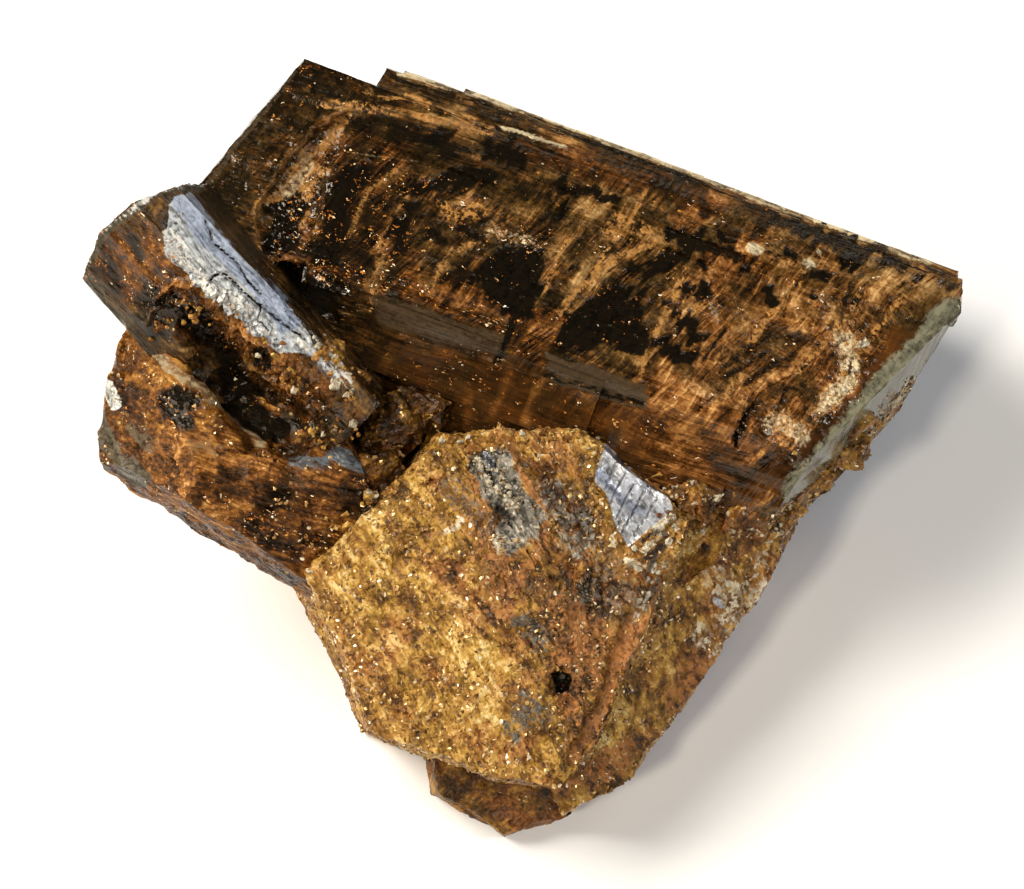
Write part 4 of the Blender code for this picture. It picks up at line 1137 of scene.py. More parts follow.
def crystal_place(tree, long_axis):
    """Millimetres along and across a crystal: bent a little, and torn for the borders of chips."""
    turned = Matrix([specimen_to_rest().to_3x3().normalized() @ axis for axis in crystal_axes(long_axis)])
    crystal = node(tree, "ShaderNodeMapping", {
        "Vector": node(tree, "ShaderNodeTexCoord").outputs["Object"], "Rotation": turned.to_euler("XYZ"),
        "Scale": (1000.0, 1000.0, 1000.0)})
    # What grew or cracked in it bends a little: about a millimetre to and fro over 8 mm
    bend = node(tree, "ShaderNodeTexNoise", {"Vector": crystal, "Scale": 0.13, "Detail": 1.0})
    bent = node(tree, "ShaderNodeVectorMath", {
        0: bend.outputs["Color"], 1: (1.9, 1.9, 1.9), 2: crystal}, operation="MULTIPLY_ADD")
    tear = node(tree, "ShaderNodeTexNoise", {"Vector": crystal, "Scale": 1.6, "Detail": 3.0})
    torn = node(tree, "ShaderNodeVectorMath", {
        0: tear.outputs["Color"], 1: (1.1, 1.1, 1.1), 2: bent}, operation="MULTIPLY_ADD")
    return bent, torn


def pattern_of(tree, bent, torn, turn, stretch, flat, chipping):
    """One set of lines or grains: its chips, its threads and its plain body, each from 0 to 1."""
    across = node(tree, "ShaderNodeMapping", {"Vector": bent, "Rotation": (0.0, 0.0, turn)})
    across = node(tree, "ShaderNodeVectorMath", {0: across, 1: stretch}, operation="MULTIPLY")
    body = node(tree, "ShaderNodeTexNoise", {
        "Vector": across, "Scale": 1.0, "Detail": 3.5, "Roughness": 0.55})
    body = node(tree, "ShaderNodeMapRange", {"Value": body, "From Min": 0.33, "From Max": 0.67})
    chipped = node(tree, "ShaderNodeMapping", {"Vector": torn, "Rotation": (0.0, 0.0, turn)})
    chipped = node(tree, "ShaderNodeVectorMath", {0: chipped, 1: flat}, operation="MULTIPLY")
    chip = node(tree, "ShaderNodeTexVoronoi", {"Vector": chipped, "Scale": 1.0}).outputs["Color"]
    chip = node(tree, "ShaderNodeSeparateColor", {0: chip})
    chip = node(tree, "ShaderNodeMix", {0: chipping, 2: body, 3: chip})
    # Long threads about 0.1 mm wide lie where a calmer pattern passes its middle
    calm = node(tree, "ShaderNodeVectorMath", {0: across, 1: (0.5, 0.22, 0.3)}, operation="MULTIPLY")
    calm = node(tree, "ShaderNodeTexNoise", {"Vector": calm, "Scale": 1.0, "Detail": 1.0})
    middle = node(tree, "ShaderNodeMath", {0: calm, 1: 0.5}, operation="SUBTRACT")
    middle = node(tree, "ShaderNodeMath", {0: middle}, operation="ABSOLUTE")
    thread = node(tree, "ShaderNodeMapRange", {
        "Value": middle, "From Max": 0.05, "To Min": 1.0, "To Max": 0.0})
    return chip, thread, body


def ramp_of(tree, value, stops):
    """A colour ramp with the given places and colours."""
    ramp = node(tree, "ShaderNodeValToRGB", {0: value})
    places = ramp.color_ramp.elements
    while len(places) < len(stops):
        places.new(1.0)
    for place, (at, colour) in zip(places, stops):
        place.position, place.color = at, linear(colour)
    return ramp


def lay_marks(tree, marks, both, speck, laid_at, colour, rough):
    """Lays each mark's colours over the ground where it shows, with its own roughness and metal."""
    metal = 0.0
    for mark, dark, light, roughness, metallic, broken in marks:
        amount = node(tree, "ShaderNodeAttribute", attribute_name=mark).outputs["Fac"]
        edge = node(tree, "ShaderNodeMath", {0: speck if broken < 0.0 else both, 1: abs(broken), 2: amount},
                    operation="MULTIPLY_ADD")
        mask = node(tree, "ShaderNodeMapRange", {
            "Value": edge, "From Min": 0.28 + 0.5 * abs(broken), "From Max": 0.72 + 0.5 * abs(broken)},
            interpolation_type="SMOOTHSTEP")
        # A broken border doesn't reach past where there is any of the mark
        there = node(tree, "ShaderNodeMapRange", {"Value": amount, "From Min": 0.05, "From Max": 0.3})
        mask = node(tree, "ShaderNodeMath", {0: mask, 1: there}, operation="MULTIPLY")
        laid = node(tree, "ShaderNodeMix", {0: laid_at, 6: linear(dark), 7: linear(light)}, data_type="RGBA")
        colour = node(tree, "ShaderNodeMix", {0: mask, 6: colour, 7: laid.outputs[2]},
                      data_type="RGBA").outputs[2]
        rough = node(tree, "ShaderNodeMix", {0: mask, 2: rough, 3: roughness})
        metal = node(tree, "ShaderNodeMix", {0: mask, 2: metal, 3: metallic})
    return colour, rough, metal


def add_painted_glints(tree, bent, torn, colour):
    """Painted glints: cleavage specks of 0.1 to 0.25 mm get bright colours in clusters, orange, gold and a
    few white, where they would catch the light.
    """
    glint = node(tree, "ShaderNodeAttribute", attribute_name="glint").outputs["Fac"]
    cells = node(tree, "ShaderNodeVectorMath", {0: torn, 1: (4.0, 6.6, 6.6)}, operation="MULTIPLY")
    cells = node(tree, "ShaderNodeTexVoronoi", {"Vector": cells, "Scale": 1.0}).outputs["Color"]
    cells = node(tree, "ShaderNodeSeparateColor", {0: cells}).outputs
    cluster = node(tree, "ShaderNodeTexNoise", {"Vector": bent, "Scale": 0.9, "Detail": 3.0})
    cluster = node(tree, "ShaderNodeMapRange", {"Value": cluster, "From Min": 0.46, "From Max": 0.66})
    chance = node(tree, "ShaderNodeMath", {0: glint, 1: cluster}, operation="MULTIPLY")
    spark = node(tree, "ShaderNodeMath", {0: chance, 1: 0.22, 2: cells[0]}, operation="MULTIPLY_ADD")
    spark = node(tree, "ShaderNodeMapRange", {"Value": spark, "From Min": 0.995, "From Max": 1.02})
    sparks = ramp_of(tree, cells[1], PAINTED_GLINT_RAMP)
    return node(tree, "ShaderNodeMix", {0: spark, 6: colour, 7: sparks}, data_type="RGBA").outputs[2]


def stone(name, long_axis, streak, ramps, marks, ior, gloss, bump, contrast, grit=0.3, shine=0.4,
          chipping=0.45, thready=0.3, fineness=1.0):
    """A mineral skin, from clear dark glass to the palest stain on it.

    The first ramp is its plain colours and the second its fiery ones. A mark lays two other colours over
    them: (name, dark colour, light colour, roughness, metallic, how far its border is broken up). Grit is
    how much of the pattern is grains and not lines, shine how strongly its skin reflects, chipping how
    much of it is chips, thready how clearly its finest cracks show, and fineness how small its grains are.
    """
    made = bpy.data.materials.new(name)
    made.use_nodes = True
    tree = made.node_tree
    bent, torn = crystal_place(tree, long_axis)
    # Growth lines 0.1 to 0.3 mm apart run along the crystal. Across it run two sets of cracks, 17 and 30
    # degrees askew and 0.2 to 0.4 mm apart. Between them lie chips, 0.5 to 1 mm wide and up to 2 mm long.
    # Grains are about 0.3 mm.
    growth, filled, opened, grainy = (pattern_of(tree, bent, torn, turn, stretch, flat, chipping) for (
        turn, stretch, flat) in ((0.0, streak, (0.5, 1.7, 1.7)), (0.30, (2.4, 0.34, 0.4), (2.1, 0.7, 0.7)),
                                 (0.52, (1.7, 0.34, 0.4), (1.2, 0.5, 0.5)),
                                 (0.0, [2.4 * fineness] * 3, [3.2 * fineness] * 3)))
    stain, shade, warm, clean, cross, crumbly = (
        node(tree, "ShaderNodeAttribute", attribute_name=mark).outputs["Fac"]
        for mark in ("stain", "shade", "warm", "clean", "cross", "crumbly"))
    crosswise = node(tree, "ShaderNodeMix", {0: 0.4, 2: filled[0], 3: opened[0]})
    fine = node(tree, "ShaderNodeMix", {0: cross, 2: growth[0], 3: crosswise})
    # One set of cracks is filled with stain and shows light; the other is open and shows dark
    along = node(tree, "ShaderNodeMath", {0: growth[1], 1: 0.6}, operation="MULTIPLY")
    threads = node(tree, "ShaderNodeMath", {0: filled[1], 1: opened[1]}, operation="SUBTRACT")
    threads = node(tree, "ShaderNodeMath", {0: growth[1], 1: 0.6, 2: threads}, operation="MULTIPLY_ADD")
    threads = node(tree, "ShaderNodeMix", {0: cross, 2: along, 3: threads})
    # Where it is crumbly the lines give way to grains
    speck = grainy[0]
    gritty = node(tree, "ShaderNodeMath", {0: crumbly, 1: 0.9 - grit, 2: grit}, operation="MULTIPLY_ADD")
    both = node(tree, "ShaderNodeMix", {0: gritty, 2: fine, 3: speck})
    # Clear glass hides little in it, so the patterns fade where it is dark or clean
    lively = node(tree, "ShaderNodeMapRange", {"Value": stain, "From Min": 0.02, "From Max": 0.40,
                                               "To Min": 0.35 * contrast, "To Max": contrast})
    dulled = node(tree, "ShaderNodeMath", {0: crumbly, 1: 0.6, 2: clean}, operation="MULTIPLY_ADD")
    dulled = node(tree, "ShaderNodeMath", {0: dulled, 1: -0.62, 2: 1.0}, operation="MULTIPLY_ADD")
    lively = node(tree, "ShaderNodeMath", {0: lively, 1: dulled}, operation="MULTIPLY")
    # The shade mark varies the tone chip by chip, and darkens the low spots as painted shade
    value = node(tree, "ShaderNodeMath", {0: shade, 1: 0.35, 2: both}, operation="MULTIPLY_ADD")
    pattern = node(tree, "ShaderNodeMath", {0: value, 1: 0.62}, operation="SUBTRACT")
    value = node(tree, "ShaderNodeMath", {0: pattern, 1: lively, 2: stain}, operation="MULTIPLY_ADD")
    # Redder and greener glass lie in patches of about 3 mm, and the threads come and go with them
    tinge = node(tree, "ShaderNodeTexNoise", {"Vector": bent, "Scale": 0.35, "Detail": 3.0})
    faint = node(tree, "ShaderNodeMapRange", {"Value": tinge, "From Min": 0.36, "From Max": 0.60,
                                              "To Min": 0.2 * thready, "To Max": thready})
    faint = node(tree, "ShaderNodeMath", {0: faint, 1: dulled}, operation="MULTIPLY")
    value = node(tree, "ShaderNodeMath", {0: threads, 1: faint, 2: value}, operation="MULTIPLY_ADD")
    fiery = node(tree, "ShaderNodeMath", {0: tinge, 1: 2.6, 2: warm}, operation="MULTIPLY_ADD")
    fiery = node(tree, "ShaderNodeMapRange", {"Value": fiery, "From Min": 1.15, "From Max": 2.15})
    plain, fire = (ramp_of(tree, value, stops) for stops in ramps)
    colour = node(tree, "ShaderNodeMix", {0: fiery, 6: plain, 7: fire}, data_type="RGBA").outputs[2]
    rough = node(tree, "ShaderNodeMapRange", {"Value": value, "From Min": 0.3, "From Max": 0.75,
                                              "To Min": gloss[0], "To Max": gloss[1]})
    laid_at = node(tree, "ShaderNodeMapRange", {"Value": pattern, "From Min": -0.28, "From Max": 0.24})
    colour, rough, metal = lay_marks(tree, marks, both, speck, laid_at, colour, rough)
    even = node(tree, "ShaderNodeMix", {0: cross, 2: growth[2], 3: filled[2]})
    even = node(tree, "ShaderNodeMix", {0: gritty, 2: even, 3: grainy[2]})
    height = node(tree, "ShaderNodeMath", {0: even, 1: lively}, operation="MULTIPLY")
    fill(tree, tree.nodes["Principled BSDF"], {
        "Base Color": add_painted_glints(tree, bent, torn, colour), "Roughness": rough, "Metallic": metal,
        "Normal": node(tree, "ShaderNodeBump", {"Height": height, "Strength": bump, "Distance": 0.0002}),
        "IOR": ior, "Specular IOR Level": shine, "Specular Tint": linear("fff0dc")})
    return made


def flake_material():
    """Mica plates: cleaved along perfect flat sheets, so each one flashes as a small mirror."""
    made = bpy.data.materials.new("Muscovite Mica Flake")
    made.use_nodes = True
    tree = made.node_tree
    shade = node(tree, "ShaderNodeAttribute", attribute_name="shade").outputs["Fac"]
    fill(tree, tree.nodes["Principled BSDF"], {
        "Base Color": ramp_of(tree, shade, FLAKE_RAMP), "Metallic": 0.35, "IOR": 1.58,
        "Roughness": node(tree, "ShaderNodeMapRange", {"Value": shade, "To Min": 0.38, "To Max": 0.22})})
    return made


def flake_tree(name, material, seed):
    """Geometry Nodes: thin plates lie on a skin, closest together where its mica mark is strong."""
    tree = bpy.data.node_groups.new(name, "GeometryNodeTree")
    tree.interface.new_socket("Geometry", in_out="INPUT", socket_type="NodeSocketGeometry")
    for label in ("Density", "Smallest", "Largest", "Thickness", "Tilt"):
        tree.interface.new_socket(label, in_out="INPUT", socket_type="NodeSocketFloat")
    tree.interface.new_socket("Geometry", in_out="OUTPUT", socket_type="NodeSocketGeometry")
    given = node(tree, "NodeGroupInput").outputs
    mica = node(tree, "GeometryNodeInputNamedAttribute", {"Name": "mica"}, data_type="FLOAT")
    density = node(tree, "ShaderNodeMath", {0: given["Density"], 1: mica}, operation="MULTIPLY")
    spread = node(tree, "GeometryNodeDistributePointsOnFaces", {
        "Mesh": given["Geometry"], "Density": density, "Seed": seed}).outputs
    plate = node(tree, "GeometryNodeMeshCone", {
        "Vertices": 5, "Radius Top": 0.0, "Radius Bottom": 1.0, "Depth": 1.0}).outputs["Mesh"]
    lean = node(tree, "ShaderNodeCombineXYZ", {0: given["Tilt"], 1: given["Tilt"], 2: 3.14})
    back = node(tree, "ShaderNodeVectorMath", {0: lean, 1: (-1.0, -1.0, -1.0)}, operation="MULTIPLY")
    turn = node(tree, "FunctionNodeRandomValue", {0: back, 1: lean, "Seed": seed + 1},
                data_type="FLOAT_VECTOR")
    turn = node(tree, "FunctionNodeRotateRotation", {0: spread["Rotation"], 1: turn},
                rotation_space="LOCAL")
    small = node(tree, "ShaderNodeCombineXYZ", {
        0: given["Smallest"], 1: given["Smallest"], 2: given["Thickness"]})
    large = node(tree, "ShaderNodeCombineXYZ", {
        0: given["Largest"], 1: given["Largest"], 2: given["Thickness"]})
    size = node(tree, "FunctionNodeRandomValue", {0: small, 1: large, "Seed": seed + 2},
                data_type="FLOAT_VECTOR")
    placed = node(tree, "GeometryNodeInstanceOnPoints", {
        "Points": spread["Points"], "Instance": plate, "Rotation": turn, "Scale": size})
    shade = node(tree, "FunctionNodeRandomValue", {2: 0.0, 3: 1.0, "Seed": seed + 3}).outputs[1]
    kept = node(tree, "GeometryNodeStoreNamedAttribute", {
        "Geometry": placed, "Name": "shade", "Value": shade}, data_type="FLOAT", domain="INSTANCE")
    real = node(tree, "GeometryNodeRealizeInstances", {0: kept})
    coated = node(tree, "GeometryNodeSetMaterial", {"Geometry": real, "Material": material})
    node(tree, "NodeGroupOutput", {0: coated})
    return tree


def scatter_flakes(name, ground, material, seed, **sizes):
    """Lays mica plates on a piece and keeps them as one plain mesh."""
    tree = flake_tree(name + "_tree", material, seed)
    carrier = add_object(name, ground.data.copy())
    change = carrier.modifiers.new("Mica", "NODES")
    change.node_group = tree
    for item in tree.interface.items_tree:
        if item.in_out == "INPUT" and item.name in sizes:
            change[item.identifier] = sizes[item.name]
    seen = carrier.evaluated_get(bpy.context.evaluated_depsgraph_get())
    mesh = bpy.data.meshes.new_from_object(seen)
    mesh.name = name
    spots = np.empty(len(mesh.vertices) * 3)
    mesh.vertices.foreach_get("co", spots)
    spots[2::3] = np.maximum(spots[2::3], 0.0)
    mesh.vertices.foreach_set("co", spots)
    carrier.modifiers.remove(change)
    carrier.data = mesh
    declare(carrier)


def add_light(name, direction, distance, size, watts, colour):
    """A soft square light that faces the specimen."""
    light = bpy.data.lights.new(name, "AREA")
    light.shape = "RECTANGLE"
    light.size, light.size_y = size
    light.energy = watts
    light.color = linear(colour)[:3]
    made = add_object(name, light)
    towards = Vector(direction).normalized()
    made.location = towards * distance + Vector((0.0, 0.0, 0.02))
    made.rotation_euler = towards.to_track_quat("Z", "Y").to_euler()


# Tourmaline glass: grown along its axis, so it is finely lined, and glossy where it broke clean. The
# stain on it is limonite, an earthy rust left by water, dull and ochre.
# Painted glints: the bright colours of specks that catch the light
PAINTED_GLINT_RAMP = ((0.0, "5c3010"), (0.55, "a05e24"), (0.80, "d6913c"), (0.95, "ffe6ba"), (1.0, "fff8ea"))
GLASS_RAMP = ((0.0, "080603"), (0.2, "221809"), (0.4, "442f14"), (0.6, "694a22"), (0.8, "8a6838"),
              (1.0, "ad8d5a"))
FIRE_RAMP = ((0.0, "0a0602"), (0.2, "2a1808"), (0.4, "4f2e10"), (0.6, "78491c"), (0.8, "a06d35"),
             (1.0, "cc9a5a"))
TOURMALINE = stone(
    "Tourmaline Glass", MAIN_AXIS, (0.12, 3.6, 3.6), (GLASS_RAMP, FIRE_RAMP),
    (
        ("rust", "2a1a0b", "a8763a", 0.42, 0.0, 2.0),
        ("violet", "33281b", "473826", 0.10, 0.0, 0.4),
        # painted reflection: a grey-olive sheen laid as colour on the smooth end rim
        ("blue", "2e2c22", "7a765f", 0.12, 0.0, 0.8),
        ("pale", "4c402c", "cdbb94", 0.42, 0.0, 0.5),
        # windows of clear dark glass; in holes and cracks the same near black is painted shade
        ("black", "020201", "150f07", 0.10, 0.0, 1.5),
    ), 1.63, (0.07, 0.5), 0.5, 0.95, 0.22, 0.30, 0.5, 0.38)
LEFT_GLASS = stone(
    "Tourmaline Glass With Pearly Face", LEFT_AXIS, (0.14, 3.6, 3.6), (GLASS_RAMP, FIRE_RAMP),
    (
        ("violet", "2a2418", "544a36", 0.15, 0.0, 0.4),
        # the pearly face: split sheets just under the skin throw back a bluish grey light, and this sheen is
        # a painted reflection, laid as light silvery and bluish grey colour
        ("silver", "3c3d3c", "c8cac8", 0.34, 0.1, 0.35),
        ("blue", "3e4652", "a4adbc", 0.32, 0.1, 0.6),
        ("pale", "7a7668", "e4e0d4", 0.42, 0.0, 1.0),
        # near black: dark glass, and painted shade deep in the hollow
        ("black", "030201", "1a130a", 0.12, 0.0, 1.0),
    ), 1.63, (0.15, 0.5), 0.6, 0.8, 0.3, 0.20)
FIBRE_RAMP = ((0.0, "0e0702"), (0.2, "2e1906"), (0.4, "56310d"), (0.6, "7b4d18"), (0.8, "a47330"),
              (1.0, "d2a65e"))
LOWER_LEFT_GLASS = stone(
    "Tourmaline Overgrown With Mica", (0.93, -0.33, -0.1), (0.22, 2.8, 2.8), (FIBRE_RAMP, FIRE_RAMP),
    (
        ("violet", "2b251b", "5e5442", 0.14, 0.0, 0.9),
        ("pale", "54472f", "958566", 0.16, 0.0, 0.5),
        # painted reflection: the silvery and bluish grey sheen of glassy facets, laid as colour
        ("silver", "70706a", "dcdad0", 0.25, 0.4, 0.4),
        ("blue", "2c2f33", "686c6e", 0.22, 0.3, 0.9),
        # near black: dark glass, and painted shade deep in the hollow
        ("black", "060503", "1a130a", 0.16, 0.0, 0.6),
    ), 1.6, (0.16, 0.5), 0.8, 0.95, 0.3, 0.12)
# Mica crust: countless small sheets lying every way, so it glitters gold over a tan ground.
CRUST_RAMP = ((0.0, "0f0a03"), (0.2, "352108"), (0.4, "664512"), (0.6, "956d28"), (0.8, "bb9242"),
              (1.0, "dcc080"))
RUST_RAMP = ((0.0, "120903"), (0.2, "3a1e0a"), (0.4, "683b14"), (0.6, "925e28"), (0.8, "b58544"),
             (1.0, "d8b474"))
CRUST = stone(
    "Golden Mica Crust", (0.5, -0.8, 0.0), (0.6, 2.6, 2.6), (CRUST_RAMP, RUST_RAMP),
    (
        ("rust", "3c200e", "a46c38", 0.50, 0.0, -1.0),
        ("grey", "120e0a", "a09888", 0.30, 0.15, -0.9),
        ("slate", "18130f", "6a6154", 0.30, 0.1, -2.0),
        ("violet", "2e2118", "7c654c", 0.30, 0.1, -2.0),
        ("pale", "6c5c44", "d2c6ac", 0.45, 0.0, -1.0),
        # painted reflection: the silvery and bluish grey sheen of the striated faces, laid as colour
        ("silver", "4e4d4c", "c2c3c6", 0.26, 0.3, 0.5),
        ("blue", "50545e", "a4a9b6", 0.26, 0.25, 0.9),
        # near black: dark spots, and painted shade in holes and on a face that turns from the light
        ("black", "030202", "100c07", 0.40, 0.0, 0.3),
    ), 1.58, (0.35, 0.5), 0.9, 0.85, 0.42, 0.3, 0.65, 0.0, 0.6)
# Matrix: iron-stained rock with mica in it, rough and orange-brown.
MATRIX = stone(
    "Iron Stained Matrix", (0.9, 0.3, 0.2), (2.0, 3.0, 3.0), (CRUST_RAMP, RUST_RAMP),
    (
        ("pale", "6c5c44", "c6ba9e", 0.5, 0.0, -1.0),
        ("black", "0a0704", "20150b", 0.35, 0.0, -0.8),
    ), 1.58, (0.35, 0.6), 0.9, 0.7, 0.65, 0.25, 0.45, 0.0)
FLAKE_RAMP = ((0.0, "4e3216"), (0.4, "835b2c"), (0.7, "ad8244"), (0.9, "d3b070"), (1.0, "f3e6c8"))
FLAKE = flake_material()

# The main crystal and the growth layers on it
main = Skin(BODIES["main"], 2.4)
main.refine(spacing_for("main", 0.62, 1.6, slabs=True))
main.hollow_out(MAIN_MARKS, 0.8)
main.refine(spacing_for("main", 0.27, 0.75, slabs=True))
relief = glass_crystal(main, MAIN_CENTRE, MAIN_AXIS, MAIN_PRISM, MAIN_MARKS, 20, ground=0.16, glints=0.5,
                       fray=12.0)
main.push(relief - 0.15)
main_crystal = finish_piece("main_crystal", [main], TOURMALINE, False)

layers = []
for index, planes in enumerate(SLABS + LEAVES):
    slab = Skin(planes, 1.6)
    slab.refine(spacing_for("main", 0.37, 0.85))
    relief = glass_crystal(slab, MAIN_CENTRE, MAIN_AXIS, MAIN_PRISM, MAIN_MARKS, 20,
                           ground=0.28 if index < 2 else 0.18, fray=12.0)
    slab.push(relief * 0.8 - 0.1)
    layers.append(slab)
finish_piece("growth_layers", layers, TOURMALINE, False)

# The left crystal with its pearly face
left = Skin(BODIES["left"], 2.0)
left.refine(spacing_for("left", 0.5, 1.2))
left.hollow_out(LEFT_MARKS, 0.85)
left.refine(spacing_for("left", 0.24, 0.6))
relief = glass_crystal(left, LEFT_CENTRE, LEFT_AXIS, LEFT_PRISM[:6], softened(LEFT_MARKS), 60, ground=0.22,
                       cracked=0.10)
left.push(relief - 0.1)
finish_piece("left_crystal", [left], LEFT_GLASS, False)

# The rough bodies: their lumps as in the solid, then crust
ROUGH = (
    ("lower_left_crystal", "lower left", 0.60, 4.5, 0.27, 0.7, LOWER_LEFT_MARKS, (0.93, -0.33, -0.1),
     0.9, 0.14, 0.30, LOWER_LEFT_GLASS),
    ("front_crystal", "front", 0.75, 3.6, 0.24, 0.62, FRONT_MARKS, (0.5, -0.8, 0.0), 1.05, 0.26, 0.41, CRUST),
    ("flank", "flank", 0.70, 4.5, 0.28, 0.6, FLANK_MARKS, (0.5, -0.8, 0.0), 0.9, 0.20, 0.42, CRUST),
    ("nub", "nub", 0.90, 4.0, 0.32, 0.6, NO_MARKS, (0.9, 0.3, 0.2), 1.3, 0.20, 0.36, MATRIX),
    ("matrix_beneath", "beneath", 1.60, 9.0, 0.6, 0.75, NO_MARKS, (0.9, 0.3, 0.2), 1.6, 0.30, 0.38, MATRIX),
)
pieces = {}
for index, row in enumerate(ROUGH):
    name, own, lift, width, fine, side, table, run, size, height, ground, material = row
    skin = Skin(BODIES[own] + [(Vector(FLOOR[0]) + Vector(FLOOR[1]) * 1.5, FLOOR[1])], 2.2)
    skin.warp(lift, width)
    skin.refine(spacing_for(own, fine * 2.0, side * 2.0))
    skin.hollow_out(table, 0.85)
    skin.refine(spacing_for(own, fine, side))
    relief = crusted_body(skin, softened(table), 100 + 20 * index, run, size, height, ground,
                          facets=0.40 if material is LOWER_LEFT_GLASS else 0.0, lumps=0.22)
    mica = smooth(grains(skin.points, 3.5, 7) + (0.35 if material is CRUST else -0.2), -0.3, 0.6)
    quiet = 1.0 - unit(skin.marks["silver"] + skin.marks["black"] + 0.8 * skin.marks["violet"]
                       + 0.75 * skin.marks["grey"] + 0.5 * skin.marks["slate"])
    skin.marks["mica"] = unit(np.maximum(mica, skin.marks["mica"]) * quiet)
    if material is MATRIX:
        skin.marks["warm"] = smooth(grains(skin.points, 5.0, 31), -0.6, 0.3)
        skin.marks["black"] = smooth(grains(skin.points, 3.2, 41), 0.3, 0.8)
    skin.push(relief - 0.4 * height)
    pieces[name] = finish_piece(name, [skin], material, material is not LOWER_LEFT_GLASS)

# Crumbs of matrix, large and small
crumbs = []
dice = random.Random(5)
for index, (middle, reach, ground) in enumerate(CRUMBS):
    crumb = Skin(crumb_planes(middle, reach, index), 1.2)
    crumb.refine(spacing_for("none", 0.4, 0.7))
    coarse = 0.45 * chips(crumb.points, 2.0, 400 + index)[0]
    relief = coarse + crusted_body(crumb, NO_MARKS, 300 + index, (0.9, 0.3, 0.2), 0.8, 0.20)
    crumb.marks["stain"] = unit(ground + 0.22 * grains(crumb.points, 1.8, 51) + 0.2 * coarse)
    crumb.marks["pale"] = smooth(grains(crumb.points, 1.3, 61), 0.3, 0.7) * 0.9 * (ground > 0.3)
    crumb.marks["mica"] = smooth(grains(crumb.points, 1.4, 71), -0.1, 0.5) * min(1.0, 2.2 * ground)
    crumb.push(relief - 0.1)
    crumbs.append(crumb)
matrix_crumbs = finish_piece("matrix_crumbs", crumbs, MATRIX, True)


def point_seen(across, down, z):
    """The point at one height that is seen at a place."""
    zoom = 10.0 * EYE_HEIGHT / (EYE_HEIGHT - z)
    return (across - VIEW_MIDDLE[0]) / zoom + AIM[0], (VIEW_MIDDLE[1] - down) / zoom + AIM[1], z


def top_at(across, down):
    """The point on the show side that is seen at a place."""
    x, y, z = point_seen(across, down, 0.0)
    for _ in range(4):
        tops = [-40.0]
        for planes in BODIES.values():
            highest, lowest = 40.0, -60.0
            for point, direction in planes:
                direction = Vector(direction).normalized()
                room = Vector(point).dot(direction) - direction.x * x - direction.y * y
                if abs(direction.z) < 1e-4:
                    highest = highest if room > 0.0 else -99.0
                elif direction.z > 0.0:
                    highest = min(highest, room / direction.z)
                else:
                    lowest = max(lowest, room / direction.z)
            if highest > lowest:
                tops.append(highest)
        x, y, z = point_seen(across, down, max(tops))
    return Vector((x, y, z))


# Grains of broken crystal and matrix: (path, how many, spread, smallest and largest reach, paleness)
GRAINS = (
    (((318, 340), (340, 366), (352, 400)), 44, 12, 0.2, 0.6, 0.9),
    (((300, 440), (340, 424), (380, 430)), 30, 14, 0.2, 0.6, 0.2),
    (((336, 520), (400, 480), (450, 440), (520, 432), (600, 440)), 46, 9, 0.25, 0.8, 0.55),
    (((250, 340), (280, 360), (310, 400)), 26, 14, 0.2, 0.5, 0.3),
    (((478, 456), (500, 484), (522, 508)), 70, 14, 0.1, 0.28, 1.9),
    (((500, 536), (502, 554)), 16, 8, 0.1, 0.25, 1.9),
    (((668, 514), (650, 540), (630, 566)), 26, 12, 0.15, 0.5, 1.9),
    (((640, 470), (700, 500), (740, 510)), 34, 12, 0.3, 0.9, 0.5),
    (((910, 392), (862, 452), (802, 508), (764, 545)), 60, 7, 0.25, 0.9, 0.7),
    (((150, 330), (190, 310), (230, 320)), 34, 12, 0.15, 0.42, 0.1),
    (((835, 310), (856, 345), (850, 385)), 30, 9, 0.2, 0.6, 0.6),
    (((776, 424), (796, 446)), 16, 12, 0.25, 0.7, 0.7),
)
dice = random.Random(11)
small_crumbs = []
for path, count, spread, least, most, paleness in GRAINS:
    for number in range(count):
        place = dice.uniform(0.0, len(path) - 1.001)
        start, stop = path[int(place)], path[int(place) + 1]
        share = place % 1.0
        across = start[0] + (stop[0] - start[0]) * share + dice.gauss(0.0, spread * 0.5)
        down = start[1] + (stop[1] - start[1]) * share + dice.gauss(0.0, spread * 0.5)
        reach = least + (most - least) * dice.random() ** 2
        middle = top_at(across, down)
        if middle.z < -17.0:
            continue  # beside the specimen
        middle -= Vector((0.0, 0.0, 0.3 * reach))
        bit = Skin(crumb_planes(middle, reach, dice.randrange(10 ** 6), 9), 9.0)
        pale = dice.random() < paleness * 0.45
        settle(bit, {}, stain=dice.uniform(0.3, 0.75), shade=dice.random(), warm=dice.random() * 0.8,
               pale=0.9 * pale, glint=0.3)
        small_crumbs.append(bit)
finish_piece("broken_grains", small_crumbs, MATRIX, True)

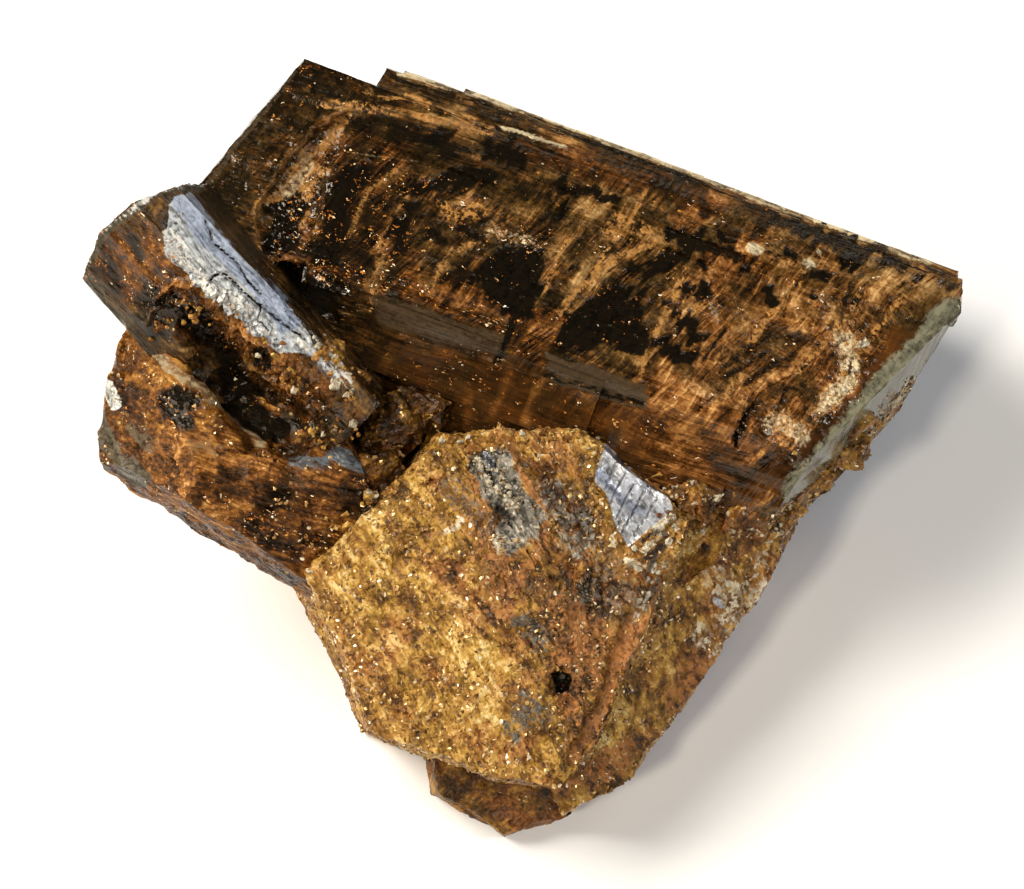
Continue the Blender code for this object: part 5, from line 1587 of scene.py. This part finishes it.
# Mica plates, 0.1 to 0.35 mm, a little larger than most real ones so that they show
for name, ground, seed, density, smallest, largest, thickness, tilt in (
    ("mica_on_front", pieces["front_crystal"], 3, 3.8e6, 0.00007, 0.00034, 0.00005, 0.6),
    ("mica_on_flank", pieces["flank"], 13, 3.0e6, 0.00007, 0.00032, 0.00005, 0.6),
    ("mica_on_lower_left", pieces["lower_left_crystal"], 23, 2.5e6, 0.00007, 0.0003, 0.00005, 0.5),
    ("mica_on_crumbs", matrix_crumbs, 33, 5.0e6, 0.0001, 0.0004, 0.00006, 0.6),
    ("mica_on_main", main_crystal, 43, 5.0e6, 0.0001, 0.0004, 0.00006, 0.6),
):
    scatter_flakes(name, ground, FLAKE, seed, Density=density, Smallest=smallest, Largest=largest,
                   Thickness=thickness, Tilt=tilt)

# A plain pale floor
FLOOR_REACH = 3.0
bm = bmesh.new()
bmesh.ops.create_grid(bm, x_segments=1, y_segments=1, size=FLOOR_REACH)
floor_mesh = bpy.data.meshes.new("floor")
bm.to_mesh(floor_mesh)
bm.free()
board = bpy.data.materials.new("Matt White Studio Board")
board.use_nodes = True
tree = board.node_tree
fill(tree, tree.nodes["Principled BSDF"], {"Base Color": linear("f2f1ee"), "Roughness": 0.8})
floor_mesh.materials.append(board)
add_object("floor", floor_mesh)

# Soft studio light: a broad one from the upper left, one over the right for the pearly faces, and a fill
add_light("key", (-0.62, 0.12, 0.78), 0.85, (0.45, 0.45), 10.5, "fffaf2")
add_light("pearl", (0.66, -0.24, 0.70), 0.80, (0.16, 0.16), 2.0, "f2f5ff")
add_light("over", (0.28, -0.04, 0.96), 0.90, (0.22, 0.22), 0.5, "fbfaf6")
add_light("glitter", (-0.35, -0.55, 0.76), 0.9, (0.10, 0.10), 3.0, "fff4e0")

world = bpy.data.worlds.new("Studio")
bpy.context.scene.world = world
world.use_nodes = True
tree = world.node_tree
seen = node(tree, "ShaderNodeLightPath").outputs["Is Camera Ray"]
strength = node(tree, "ShaderNodeMix", {0: seen, 2: 0.07, 3: 1.0})
fill(tree, tree.nodes["Background"], {"Strength": strength, "Color": linear("f4f4f2")})

# The camera looks straight at the show side, which leans back by 28 degrees
camera = bpy.data.cameras.new("Camera")
camera.sensor_width = 36.0
camera.lens = camera.sensor_width * EYE_HEIGHT / VIEW_WIDTH
viewpoint = add_object("Camera", camera)
towards = Vector((0.0, -math.sin(LEAN), math.cos(LEAN)))
viewpoint.location = specimen_to_rest() @ Vector((*AIM, 0.0)) + towards * EYE_HEIGHT * MM
viewpoint.rotation_euler = towards.to_track_quat("Z", "Y").to_euler()
bpy.context.scene.camera = viewpoint
bpy.context.scene.view_settings.view_transform = "Standard"
